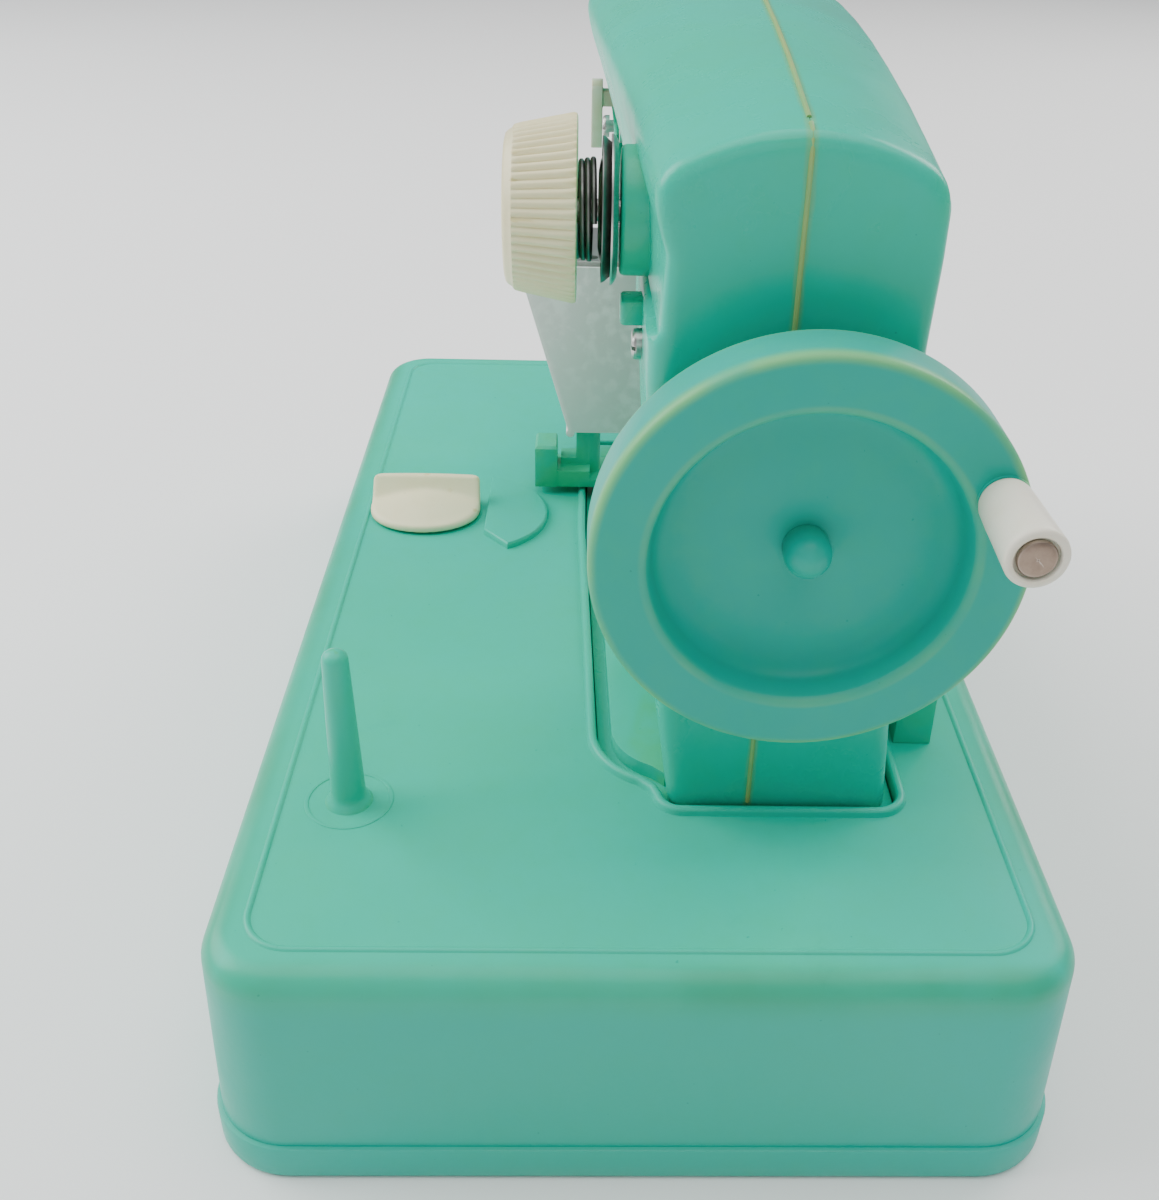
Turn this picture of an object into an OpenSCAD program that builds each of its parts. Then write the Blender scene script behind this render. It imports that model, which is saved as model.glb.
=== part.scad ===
// Toy hand-cranked chain-stitch sewing machine in moulded plastic.
// +X points to the handwheel end, -Y to the operator, +Z up.
// The origin is the middle of the base's underside.

/* [Base] */
// Length of the skirt along X
base_len = 240; // [220:1:260]
// Width of the skirt along Y
base_wid = 133; // [125:1:145]
// Height of the base's flat top
base_h = 41.4; // [40:0.1:43]
// Height of the skirt band at the foot of the base
skirt_h = 6.9; // [5:0.1:8]
// Plan radius of the base's corners
corner_r = 13; // [9:0.5:16]
// Wall of the moulded shells
wall = 2.2; // [1.8:0.1:2.4]
// Height of the spool pin above the base
pin_h = 29.6; // [20:0.5:40]

/* [Body] */
// Y of the seam between the two body halves
seam_y = 18.2; // [17:0.1:19]
// X of the column's flat end face
end_x = 79.7; // [79:0.1:81]
// X of the column's inner face, towards the head
column_x = 33; // [32:0.5:35]
// Height of the bed's top face
bed_top = 42.8; // [42.4:0.1:43.2]
// Height of the arm's underside
arm_under = 112; // [110:0.5:113]
// Height of the head's underside
head_under = 96; // [95.5:0.5:98]

/* [Handwheel] */
// Outer radius of the rim
wheel_r = 29.9; // [26:0.1:32]
// Inner radius of the rim's flat front
wheel_inner_r = 22.4; // [20:0.1:23]
// X of the rim's front face
wheel_front = 96.4; // [95:0.1:98]
// Width of the rim along X
rim_w = 9.7; // [8:0.1:11]
// Radius at which the handle stands
handle_at = 26.1; // [24:0.1:27]
// Angle of the handle above +Y at rest
handle_angle = 23.8; // [0:0.1:90]
// Length of the handle
handle_len = 15.6; // [12:0.1:24]

/* [Drive] */
// Y of the main shaft
shaft_y = 20.9; // [20:0.1:21.5]
// Z of the main shaft
shaft_z = 96.9; // [96:0.1:98]
// Teeth on the main gear
gear_teeth = 26; // [26:1:26]
// Teeth on the crank pinion
pinion_teeth = 18; // [18:1:18]
// Gear module
gear_m = 1; // [1:0.5:1]
// Throw of the crank pin
throw = 6; // [5:0.1:6]
// Angle that the rocker beam is tilted by with the needle up
beam_tilt = 10; // [10:1:10]

/* [Head] */
// X of the needle bar and the presser bar
needle_x = -38; // [-39:0.1:-37]
// Y of the needle bar
needle_y = 3; // [2.5:0.1:3.5]
// Y of the presser bar
presser_y = -8.2; // [-9:0.1:-8]
// Height of the head cover's lower edge
cover_z = 56.5; // [55:0.1:58]

/* [Tension] */
// X of the tension stud
tension_x = 52; // [48:0.5:58]
// Z of the tension stud
tension_z = 131.3; // [129:0.1:132]
// Largest radius of the knob
knob_r = 13.5; // [11:0.1:14.5]

/* [Hidden] */
$fn = 48;
eps = 0.02;
turquoise = "#56cbb8";
cream = "#e9e2bd";
ivory = "#efe9d6";
steel = "#b9bcbf";
dark_steel = "#4a4b4c";
grey = "#c9c6c2";
brass = "#c9a95c";

// Base
skin = 0.8;                      // how far the skirt stands out from the wall above it
wall_l = base_len - 2 * skin;    // wall at the skirt
wall_w = base_wid - 2 * skin;
draft = 0.9;                     // lean of the wall on each side
top_r = 4;                       // roll of the top edge
ridge_inset = 6.7;               // fine line round the top
bead_w = 1.6;
bead_h = 1.2;
gap = 2.6;                       // moat between the bead and the bed
flange_z = 40;                   // top of the bed's flange, on which the column stands
flange_t = 1.2;
pillar_x = 103;
pillar_y = 50;
spool_x = 79.1;
spool_y = -47.3;
lever_x = -22;                   // stitch lever's pivot
lever_y = -50;
lever_gap = 0.6;
pad_y = -31.5;                   // straight side of the sector pad
pad_c = [-20, -35.3];            // middle of its arc
pad_r = 17.9;
pad_h = 1.4;

// Column and arm
foot_y = [5.2, 41.6];            // column's sides at its foot
waist_y = [2.4, 40.2];           // at 20 above the foot
neck_y = [-1.3, 37.1];           // under the arm
// Stations along the arm: x, front shoulder y, rear shoulder y, top z
ARM = [[end_x, 0.5, 35.3, 147.2], [end_x - 2, -1.3, 37.1, 149.2], [51, -3.4, 37.3, 153],
    [19.5, -6.8, 37.5, 156], [-10, -9.2, 37.7, 157.2], [-40, -10.2, 37.7, 155.6],
    [-60, -9.4, 36.6, 150.6], [-69, -5.5, 32, 141]];
arch = 6.5;                      // rise of the arm's crowned top above its shoulders
head_x = [-68.5, -28];
// Body screws: x, z and the y of the head's seat
BODY_SCREWS = [[62, 114.6, -1.3], [42, 58, 2.7], [-55, 120, -4.8], [24, 116.2, 0.1]];
body_head_r = 2.3;

// Drive
pinion_z = shaft_z - gear_m * (gear_teeth + pinion_teeth) / 2;
shaft_r = 2.5;
crank_r = 2;
run = 0.05;                      // running clearance on the radius
gear_x = 66.5;
plate_a = 73;                    // frame plates' lower X faces
plate_b = 47;
plate_t = 1.5;
disc_x = 42.4;
beam_x = 6;                      // rocker beam's pivot
beam_z = 133;
beam_y = 10;
beam_t = 3;
beam_front = beam_x - needle_x;  // 44 to the needle bar
beam_rear = throw * beam_front / 8;
rear_pin_x = beam_x + beam_rear * cos(beam_tilt);
rear_pin_z = beam_z - beam_rear * sin(beam_tilt);
rod_x = rear_pin_x - 0.3;
rod_t = 1.6;
looper_px = 28;                  // looper lever's pivot
looper_py = 4.4;
looper_z = 26;
cam_x = 52.5;

// Head
bar_r = 2;
clamp_z = 65;                    // underside of the needle clamp with the needle up
foot_z = 43.4;                   // underside of the presser foot
sheet = 0.8;
cover_x = [-63, -33];
bracket_z = 93.2;

// Tension
boss_y = -4.7;
knob_y = [-21.6, -11];

module rounded_rect(l, w, r) {
    square([l - 2 * r, w], center = true);
    square([l, w - 2 * r], center = true);
    for (x = [-1, 1], y = [-1, 1]) translate([x * (l / 2 - r), y * (w / 2 - r)]) circle(r);
}

module slab(z, l, w, r) {
    translate([0, 0, z]) linear_extrude(eps) rounded_rect(l, w, r);
}

// A slab between two Y values, from x0 to x1
module y_slab(z, x0, x1, y, r) {
    translate([(x0 + x1) / 2, (y[0] + y[1]) / 2, 0]) slab(z, x1 - x0, y[1] - y[0], r);
}

module box(x, y, z) {
    translate([x[0], y[0], z[0]]) cube([x[1] - x[0], y[1] - y[0], z[1] - z[0]]);
}

// A cylinder along X from x0 to x1
module rod_x(y, z, r, x0, x1) {
    translate([x0, y, z]) rotate([0, 90, 0]) cylinder(r = r, h = x1 - x0);
}

// A cylinder along Y from y0 to y1
module rod_y(x, z, r, y0, y1) {
    translate([x, y1, z]) rotate([90, 0, 0]) cylinder(r = r, h = y1 - y0);
}

module rod_z(x, y, r, z0, z1) {
    translate([x, y, z0]) cylinder(r = r, h = z1 - z0);
}

// Points of an arc about c, from angle a to angle b
function arc(c, r, a, b, n) = [for (i = [0 : n]) c + r * [cos(a + (b - a) * i / n), sin(a + (b - a) * i / n)]];

// Opening in the base's top: it follows the arm, then bends out round the column's foot
OPENING = concat(
    arc([-55, -5.5], 3.4, 180, 270, 4), [[-14, -8.9]], arc([61, 7], 13.6, 272, 334, 8),
    [[75.4, 3.4]], arc([77.5, 7.4], 3.1, 275, 350, 5),
    arc([76.8, 39.6], 3.8, 0, 90, 4), arc([-55, 40], 3.4, 90, 180, 4));

module opening(grow) {
    offset(delta = grow) polygon(OPENING);
}

module base_outer() {
    hull() {
        slab(skirt_h, wall_l, wall_w, corner_r);
        slab(base_h - top_r, wall_l - 2 * draft, wall_w - 2 * draft, corner_r);
        slab(base_h - 0.3 * top_r, wall_l - 2 * draft - 0.6 * top_r, wall_w - 2 * draft - 0.6 * top_r,
            corner_r - 0.3 * top_r);
        slab(base_h - eps, wall_l - 2 * draft - 2 * top_r, wall_w - 2 * draft - 2 * top_r, corner_r - top_r);
    }
}

module base_cavity() {
    hull() {
        slab(skirt_h - 1, wall_l - 2 * wall, wall_w - 2 * wall, corner_r - wall);
        slab(base_h - wall - 3, wall_l - 2 * draft - 2 * wall, wall_w - 2 * draft - 2 * wall, corner_r - wall);
        slab(base_h - wall - eps, wall_l - 2 * draft - 2 * wall - 6, wall_w - 2 * draft - 2 * wall - 6, 8);
    }
}

module base_shell() {
    ridge_l = wall_l - 2 * draft - 2 * ridge_inset;
    ridge_w = wall_w - 2 * draft - 2 * ridge_inset;
    color(turquoise) difference() {
        union() {
            difference() {
                base_outer();
                base_cavity();
                translate([0, 0, base_h - 6]) linear_extrude(8) opening(0);
            }
            // ledge under the opening
            translate([0, 0, flange_z - flange_t - 2.4]) linear_extrude(2.4) difference() {
                opening(3);
                opening(-1.8);
            }
            translate([0, 0, flange_z - flange_t - eps]) linear_extrude(2) difference() {
                opening(3);
                opening(0);
            }
            // bead round the opening
            translate([0, 0, base_h - eps]) linear_extrude(bead_h + eps) difference() {
                opening(bead_w);
                opening(0);
            }
            // fine line round the top
            translate([0, 0, base_h - eps]) linear_extrude(0.4 + eps) difference() {
                rounded_rect(ridge_l + 0.9, ridge_w + 0.9, 7.5);
                rounded_rect(ridge_l - 0.9, ridge_w - 0.9, 6.6);
            }
            // sector pad beside the stitch lever
            translate([0, 0, base_h - eps]) linear_extrude(pad_h + eps) intersection() {
                translate(pad_c) circle(pad_r);
                polygon([[-11.3, pad_y], [-2, pad_y + 9.6], [-2, -10], [-40, -10], [-40, pad_y]]);
            }
            // ring at the spool pin's foot
            translate([spool_x, spool_y, base_h - eps]) difference() {
                cylinder(r = 7.2, h = 0.25 + eps);
                translate([0, 0, -1]) cylinder(r = 6.6, h = 3);
            }
            for (x = [-1, 1], y = [-1, 1]) rod_z(x * pillar_x, y * pillar_y, 4, 6, base_h - 1);
        }
        for (x = [-1, 1], y = [-1, 1]) rod_z(x * pillar_x, y * pillar_y, 1.3, 5, 22);
        rod_z(spool_x, spool_y, 2, base_h - 6, base_h + 2);
        rod_z(lever_x, lever_y, 1.5 + run, base_h - 6, base_h + 2);
        rod_z(53, 49, 1.5, base_h - 6, base_h + 2);
    }
}

module bottom_pan() {
    color(turquoise) difference() {
        union() {
            difference() {
                hull() {
                    slab(0, base_len - 1.2, base_wid - 1.2, corner_r);
                    slab(0.8, base_len, base_wid, corner_r);
                    slab(skirt_h - eps, base_len, base_wid, corner_r);
                }
                translate([0, 0, 2.4]) linear_extrude(10)
                    rounded_rect(base_len - 7, base_wid - 7, corner_r - 3);
            }
            for (x = [-1, 1], y = [-1, 1]) rod_z(x * pillar_x, y * pillar_y, 4.5, 2, 6);
        }
        for (x = [-1, 1], y = [-1, 1]) {
            rod_z(x * pillar_x, y * pillar_y, 3.2, -1, 2.2);
            rod_z(x * pillar_x, y * pillar_y, 1.6, 1, 8);
        }
    }
}

// Pan-head screw along +Z, its head's top at z = 0, pointing down
module pan_screw(head_r, head_h, r, len) {
    difference() {
        rotate_extrude() polygon(concat([[0, 0]], [for (a = [90 : -30 : 0])
            [head_r - 0.7 + 0.7 * cos(a), -0.7 + 0.7 * sin(a)]], [[head_r, -head_h], [0, -head_h]]));
        box([-head_r, head_r], [-0.3, 0.3], [-0.6, 1]);
    }
    translate([0, 0, -head_h - len]) cylinder(r = r, h = len + eps);
}

module base_screws() {
    color(steel) for (x = [-1, 1], y = [-1, 1])
        translate([x * pillar_x, y * pillar_y, 0.7]) mirror([0, 0, 1]) pan_screw(2.8, 1.5, 1.3, 12);
}

module spool_pin() {
    color(turquoise) translate([spool_x, spool_y, base_h]) {
        rotate_extrude() polygon(concat([[0, 0], [3.5, 0], [3.5, 0.8], [2.8, 1.3]],
            [for (a = [0 : 15 : 90]) [2.05 * cos(a), pin_h - 1.6 + 1.6 * sin(a)]]));
        translate([0, 0, -5]) cylinder(r = 2, h = 5 + eps);
    }
}

module rear_clamp_block() {
    color(turquoise) difference() {
        box([44, 62.5], [45.8, 52.4], [base_h, base_h + 14]);
        rod_z(53, 49, 1.5, 30, 70);
        rod_z(53, 49, 2.8, base_h + 11.6, 70);
    }
}

module clamp_screw() {
    color(steel) translate([53, 49, base_h + 13.1]) pan_screw(2.6, 1.5, 1.5, 16);
}

module machine_bed() {
    color(turquoise) difference() {
        union() {
            translate([0, 0, flange_z - flange_t]) linear_extrude(flange_t) opening(-0.3);
            translate([0, 0, flange_z - eps]) linear_extrude(bed_top - flange_z + eps) difference() {
                opening(-gap);
                translate([column_x - 0.15, foot_y[0] - 0.3]) square([60, 60]);
            }
            // walls that carry the feed dog's guide
            for (x = [-49, -29.5]) box([x, x + 2], [-4, 26], [33, flange_z]);
        }
        // recess and holes for the throat plate
        box([-49.2, -28.8], [-5.2, 19.2], [bed_top - 1.2, 60]);
        box([-45.5, -30.5], [-2, 16], [30, 60]);
        for (y = [-3.4, 17.4]) rod_z(needle_x - 1, y, 1, 38, 60);
        // way for the looper lever's fork inside the column
        box([column_x + wall + 0.4, 72.5], [foot_y[0] + wall + 0.4, foot_y[1] - wall - 0.4], [30, 60]);
        rod_z(looper_px, looper_py, 1.5, 30, 60);
        for (y = [12, 33]) rod_z(76.2, y, 1, 30, 60);
    }
    color(turquoise) difference() {
        rod_z(looper_px, looper_py, 4.5, flange_z - flange_t, bed_top);
        rod_z(looper_px, looper_py, 1.5, 30, 60);
    }
}

module throat_plate() {
    color(steel) difference() {
        box([-49, -29], [-5, 19], [bed_top - 1.2, bed_top]);
        rod_z(needle_x, needle_y, 1.6, 30, 60);
        for (x = feed_rails()) box([x - 1.2, x + 1.2], [-1, 13], [30, 60]);
        for (y = [-3.4, 17.4]) rod_z(needle_x - 1, y, 1.2, 30, 60);
    }
}

module throat_screws() {
    color(steel) for (y = [-3.4, 17.4]) translate([needle_x - 1, y, bed_top]) {
        translate([0, 0, -3.4]) cylinder(r = 1, h = 3.4);
        difference() {
            cylinder(r = 1.5, h = 0.5);
            box([-2, 2], [-0.2, 0.2], [0.25, 1]);
        }
    }
}

// Thin slice of the arm across X at one station
module arm_station(s, inset) {
    yf = s[1] + inset;
    yr = s[2] - inset;
    top = s[3] - inset;
    low = 1.4 - max(0, 0.02 * s[0]) + inset;
    translate([s[0] + (s[0] > 60 ? -inset : s[0] < -65 ? inset : 0), 0, 0]) rotate([90, 0, 90])
        linear_extrude(eps) polygon(concat(
            [[low, arm_under + inset], [yf + 2, top - 16]],
            [for (i = [0 : 12]) [yf + (yr - yf) * i / 12, top - arch * pow(i / 6 - 1, 2)]],
            [[yr, top - 16], [yr - 0.8, arm_under + inset]]));
}

// Outer or inner form of the arm, column and head; inset shrinks it
module body_form(inset) {
    hull() for (s = ARM) arm_station(s, inset);
    hull() {
        x = [column_x + inset, end_x - inset];
        z = flange_z - (inset > 0 ? 1 : 0);
        y_slab(z, x[0], x[1], foot_y + [inset, -inset], 4);
        y_slab(flange_z + 20, x[0], x[1], waist_y + [inset, -inset], 4);
        y_slab(arm_under + 3 + inset, x[0], x[1], neck_y + [inset, -inset], 4);
        y_slab(arm_under + 22, x[0] + 4, x[1], neck_y + [inset + 0.2, -inset], 4);
    }
    hull() {
        y_slab(head_under + inset, head_x[0] + 3 + inset, head_x[1] - 3 - inset, [-2.5 + inset, 33 - inset], 3);
        y_slab(arm_under + 10, head_x[0] + 0.6 + inset, head_x[1] - inset, [-5 + inset, 36 - inset], 3);
    }
}

module body_half(front) {
    difference() {
        body_form(0);
        // the hollow, less the bosses left standing in it
        difference() {
            body_form(wall);
            for (p = BODY_SCREWS) rod_y(p[0], p[1], 3.4, -20, 60);
            rod_y(beam_x, beam_z, 5, -20, 6.6);
            rod_y(beam_x, beam_z, 5, 18.6, 60);
        }
        if (front) box([-100, 100], [seam_y, 100], [0, 200]);
        else box([-100, 100], [-100, seam_y], [0, 200]);
        for (p = BODY_SCREWS) {
            rod_y(p[0], p[1], 1.3, -20, 30);
            rod_y(p[0], p[1], body_head_r + 0.2, -20, p[2]);
        }
        rod_y(beam_x, beam_z, shaft_r, -4, 34.6);
        // main bush in the end wall
        rod_x(shaft_y, shaft_z, 4.4, 60, 100);
        // needle bar bush in the head's floor
        rod_z(needle_x, needle_y, 4, 80, 105);
        rod_z(-54, 20, 1.2, 80, 105);
        rod_z(-38, 20, 1.2, 80, 105);
    }
}

module front_body_shell() {
    color(turquoise) difference() {
        union() {
            body_half(true);
            rod_y(tension_x, tension_z, 9.6, boss_y, -0.9);
            box([56.4, 62], [-4.6, 0.2], [117.2, 120.8]);
        }
        rod_y(tension_x, tension_z, 1.6, -20, 10);
        box([-33.2, -24.4], [-20, 5], [114.6, 136.5]);
    }
}

module rear_body_shell() {
    color(turquoise) body_half(false);
}

module body_screws() {
    color(steel) for (p = BODY_SCREWS) translate([p[0], p[2] - 1.5, p[1]])
        rotate([90, 0, 0]) pan_screw(body_head_r, 1.5, 1.3, 24 - p[2]);
}

// Head cover: a sheet bent round the front of the head, open below and behind
function cover_front(z) = -13 - (z - cover_z) * 11.2 / 38.8;

module cover_panel(x) {
    translate([x, 0, 0]) rotate([90, 0, 90]) linear_extrude(sheet)
        polygon([[-13, cover_z], [11, cover_z], [11, 95.3], [cover_front(93) + 1.6, 95.3],
            [cover_front(94) + 0.5, 94.7], [cover_front(93), 93]]);
}

module head_cover() {
    color(grey) {
        difference() {
            union() {
                cover_panel(cover_x[1] - sheet);
                cover_panel(cover_x[0]);
            }
            for (z = [66, 88]) rod_x(6, z, 1.1, -70, -50);
        }
        translate([cover_x[0], 0, 0]) rotate([90, 0, 90]) linear_extrude(cover_x[1] - cover_x[0])
            polygon([[-13, cover_z], [-13 + sheet, cover_z], [cover_front(93) + sheet, 93],
                [cover_front(93), 93]]);
        translate([cover_x[0], -12.6, cover_z - 0.2]) rotate([0, 90, 0])
            cylinder(r = 1, h = cover_x[1] - cover_x[0]);
    }
}

module cover_screws() {
    color(steel) for (z = [66, 88]) translate([cover_x[0], 6, z]) rotate([0, -90, 0])
        translate([0, 0, 1.2]) pan_screw(2.2, 1.2, 1.1, 4);
}

// Bracket that hangs from the head and guides the presser bar
module head_bracket() {
    color(steel) difference() {
        union() {
            box([-60.6, -35.4], [-12, 26], [bracket_z, head_under]);
            box([-60.6, -35.4], [10, 11.6], [61, bracket_z + eps]);
            box([-60.6, -35.4], [-12, -3.2], [62.5, 64.5]);
            box([-60.6, -58.8], [-12, 11.6], [62.5, bracket_z + eps]);
        }
        rod_z(needle_x, presser_y, 1.3 + run, 50, 100);
        rod_z(needle_x, needle_y, 4, 80, 100);
        rod_z(-54, 20, 1.2, 80, 100);
        rod_z(-38, 20, 1.2, 80, 100);
        for (z = [66, 88]) rod_x(6, z, 1.1, -70, -50);
    }
    // spacer between the far panel and the bracket
    color(steel) difference() {
        box([cover_x[0] + sheet, -60.6 + eps], [3, 9], [63, 91]);
        for (z = [66, 88]) rod_x(6, z, 1.1, -70, -50);
    }
}

module bracket_screws() {
    color(steel) for (x = [-54, -38]) translate([x, 20, bracket_z - 1.5]) mirror([0, 0, 1])
        pan_screw(2.3, 1.5, 1.2, 4.8);
}

module main_bush() {
    color(ivory) difference() {
        union() {
            rod_x(shaft_y, shaft_z, 7, end_x, end_x + 2.8);
            rod_x(shaft_y, shaft_z, 4.4, 75.2, end_x + eps);
        }
        rod_x(shaft_y, shaft_z, shaft_r + run, 70, 90);
    }
}

module gear_frame() {
    y = [9, 34];
    color(steel) difference() {
        union() {
            for (x = [plate_a, plate_b]) box([x, x + plate_t], y, [flange_z, 109]);
            for (z = [82, 105.8]) box([plate_b + 0.5, plate_a + 1], [y[1] - 1.8, y[1] - 0.3], [z, z + 3]);
            box([plate_a + 0.5, 77.4], [y[0] + 0.3, y[1] - 0.3], [flange_z, flange_z + 1.5]);
        }
        rod_x(shaft_y, shaft_z, shaft_r + run, 40, 90);
        rod_x(shaft_y, pinion_z, crank_r + run, 40, 90);
        for (yy = [12, 33]) rod_z(76.2, yy, 1, 30, 60);
        // plate b ends short of the bed's opening
        box([plate_b - 1, plate_b + 2], [0, 40], [30, flange_z + 2]);
    }
}

module frame_screws() {
    color(steel) for (y = [12, 33]) translate([76.2, y, flange_z + 2.9]) difference() {
        union() {
            translate([0, 0, -1.4]) cylinder(r = 1.3, h = 1.4);
            translate([0, 0, -4.1]) cylinder(r = 1, h = 3);
        }
        box([-2, 2], [-0.2, 0.2], [-0.5, 1]);
    }
}

module beam_pivot_pin() {
    color(steel) rod_y(beam_x, beam_z, shaft_r, -4, 34.6);
}

module needle_bar_bush() {
    color(brass) difference() {
        rod_z(needle_x, needle_y, 4, bracket_z, 105);
        rod_z(needle_x, needle_y, bar_r + run, 80, 120);
    }
}

module looper_pivot_pin() {
    color(steel) {
        rod_z(looper_px, looper_py, 1.5, looper_z - 1, bed_top - 0.4);
        rod_z(looper_px, looper_py, 3, looper_z - 2.2, looper_z - 0.3);
    }
}

// Guide block between the bed's two walls, on which the feed dog slides
module feed_guide() {
    color(steel) difference() {
        box([-47, -29.5], [18.9, 24], [33.5, 38.8]);
        box([-42, -34.5], [10, 40], [35.2 - run, 37.2 + run]);
    }
}

function feed_rails() = [needle_x - 4.5, needle_x + 4.5];

module feed_dog() {
    color(steel) {
        for (x = feed_rails()) {
            box([x - 0.8, x + 0.8], [1, 14.3], [38, bed_top - 1.8]);
            for (i = [0 : 4]) translate([x, 2.2 + 1.9 * i, bed_top - 1.8 - eps]) rotate([90, 0, 90])
                linear_extrude(1.6, center = true) polygon([[-0.9, 0], [0.9, 0], [0.9, 1.8], [0.5, 2.2]]);
            box([x - 0.8, x + 0.8], [1.3, 10.7], [bed_top - 1.8 - eps, bed_top - 0.4]);
        }
        box([needle_x - 5.3, needle_x + 5.3], [12, 17], [35.2, 38 + eps]);
        box([-42 + 0.1, -34.5 - 0.1], [16.9, 28], [35.2, 37.2]);
    }
}

module tension_stud() {
    color(steel) rod_y(tension_x, tension_z, 1.6, -19.6, 6.6);
}

module tension_nut() {
    color(steel) difference() {
        translate([tension_x, 5.4, tension_z]) rotate([90, 0, 0]) cylinder(r = 3.4, h = 2.4, $fn = 6);
        rod_y(tension_x, tension_z, 1.6, -10, 10);
    }
}

module tension_disc(y, dish) {
    translate([tension_x, y, tension_z]) rotate([90, 0, 0]) rotate_extrude()
        polygon([[1.7, dish], [6.5, dish], [9.2, 0], [10.4, 0.9], [10.4, 1.5], [8.9, 0.6], [6.8, dish + 0.6],
            [1.7, dish + 0.6]]);
}

module tension_disc_inner() {
    color(steel) translate([tension_x, -5.7, tension_z]) rotate([-90, 0, 0]) rotate_extrude()
        polygon([[1.7, 0.6], [1.7, 0], [9.6, 0], [10.5, -0.5], [10.7, 0], [9.7, 0.6]]);
}

module tension_disc_outer() {
    color(dark_steel) tension_disc(-5.9, 1.4);
}

// A coil along +Z: radius goes from r0 to r1, made of wire of radius w
module coil(r0, r1, len, turns, w, steps, sides) {
    n = turns * steps;
    pts = [for (i = [0 : n], k = [0 : sides - 1])
        let (a = 360 * i / steps, r = r0 + (r1 - r0) * i / n, b = 360 * k / sides)
        [(r + w * cos(b)) * cos(a), (r + w * cos(b)) * sin(a), len * i / n + w * sin(b)]];
    body = [for (i = [0 : n - 1], k = [0 : sides - 1])
        let (p = i * sides + k, q = i * sides + (k + 1) % sides) [p, p + sides, q + sides, q]];
    polyhedron(pts, concat([[for (k = [0 : sides - 1]) k]], body,
        [[for (k = [sides - 1 : -1 : 0]) n * sides + k]]));
}

module tension_spring() {
    color(dark_steel) translate([tension_x, -8.4, tension_z]) rotate([90, 0, 0])
        coil(7.2, 6.6, 4.4, 3, 0.45, 20, 8);
}

// Outline of the wheel, as radius and distance behind its front face
module handwheel() {
    web = 6.2;
    color(turquoise) difference() {
        translate([wheel_front, shaft_y, shaft_z]) rotate([0, -90, 0]) rotate_extrude($fn = 96)
            polygon(concat([[shaft_r, web]], arc([wheel_inner_r - 3.6, web - 2.8], 2.8, 90, 0, 5),
                [[wheel_inner_r, 0]], arc([wheel_r - 1, 1], 1, -90, 0, 4),
                arc([wheel_r - 1, rim_w - 1], 1, 0, 90, 4), [[wheel_inner_r + 1, rim_w],
                [wheel_inner_r - 0.4, web + 2.6], [6, web + 2.6], [6, 13.4], [shaft_r, 13.4]]));
        handle_axis() translate([0, 0, -20]) cylinder(r = 1.5, h = 30);
    }
}

// Places its children on the handle's axis at the rim's front face, pointing +X
module handle_axis() {
    translate([wheel_front, shaft_y + handle_at * cos(handle_angle), shaft_z + handle_at * sin(handle_angle)])
        rotate([0, 90, 0]) children();
}

module hub_cap() {
    color(turquoise) translate([wheel_front - 6.2, shaft_y, shaft_z]) rotate([0, 90, 0]) rotate_extrude()
        polygon(concat([[0, 0], [2.5, 0], [2.5, 2.6]], arc([0, 2.6], 3.3, 0, 90, 8)));
}

module main_shaft() {
    color(steel) rod_x(shaft_y, shaft_z, shaft_r, 45.6, wheel_front - 6.2);
}

// Spur gear along +X, a tooth or a gap at angle 0 pointing down (-Z)
module gear(teeth, bore, width, tooth_down) {
    p = 360 / teeth;
    r = gear_m * teeth / 2;
    shift = tooth_down ? 0 : p / 2;
    rotate([90, 0, 90]) linear_extrude(width) difference() {
        polygon([for (i = [0 : teeth - 1], c = [[-0.31, -1.15], [-0.22, 0], [-0.12, 0.85],
            [0.12, 0.85], [0.22, 0], [0.31, -1.15]])
            let (a = p * (i + c[0]) + shift - 90) (r + gear_m * c[1]) * [cos(a), sin(a)]]);
        circle(bore);
    }
}

module main_gear() {
    color(cream) translate([gear_x, shaft_y, shaft_z]) gear(gear_teeth, shaft_r, 4, true);
}

module handle_pin() {
    color(steel) handle_axis() {
        translate([0, 0, -rim_w]) cylinder(r = 1.5, h = rim_w + handle_len);
        translate([0, 0, handle_len - 0.8]) cylinder(r = 2.5, h = 0.8);
    }
}

module crank_handle() {
    color(ivory) handle_axis() rotate_extrude()
        polygon([[1.5 + run, 0.4], [3.3, 0.4], [3.7, 0.9], [4.15, handle_len - 0.8], [3.7, handle_len],
            [2.9, handle_len], [2.9, handle_len - 1.1], [1.5 + run, handle_len - 1.1]]);
}

module crank_shaft() {
    color(steel) rod_x(shaft_y, pinion_z, crank_r, disc_x, 76);
}

module crank_pinion() {
    // the pinion has a gap at the top, under the main gear's lowest tooth
    color(cream) translate([gear_x - 0.3, shaft_y, pinion_z]) gear(pinion_teeth, crank_r, 4.6, false);
}

module crank_disc() {
    color(steel) difference() {
        union() {
            rod_x(shaft_y, pinion_z, 9, disc_x, disc_x + 2.6);
            rod_x(shaft_y, pinion_z - throw, 1.5, disc_x - 1.8, disc_x + eps);
        }
        rod_x(shaft_y, pinion_z, crank_r, disc_x - 5, disc_x + 5);
    }
}

module looper_cam() {
    color(cream) difference() {
        rod_x(shaft_y + 2.5, pinion_z, 6, cam_x, cam_x + 3.4);
        rod_x(shaft_y, pinion_z, crank_r, cam_x - 5, cam_x + 5);
    }
}

// Places its children in the beam's own frame: X along the beam, origin at the pivot
module on_beam() {
    translate([beam_x, 0, beam_z]) rotate([0, beam_tilt, 0]) children();
}

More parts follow.
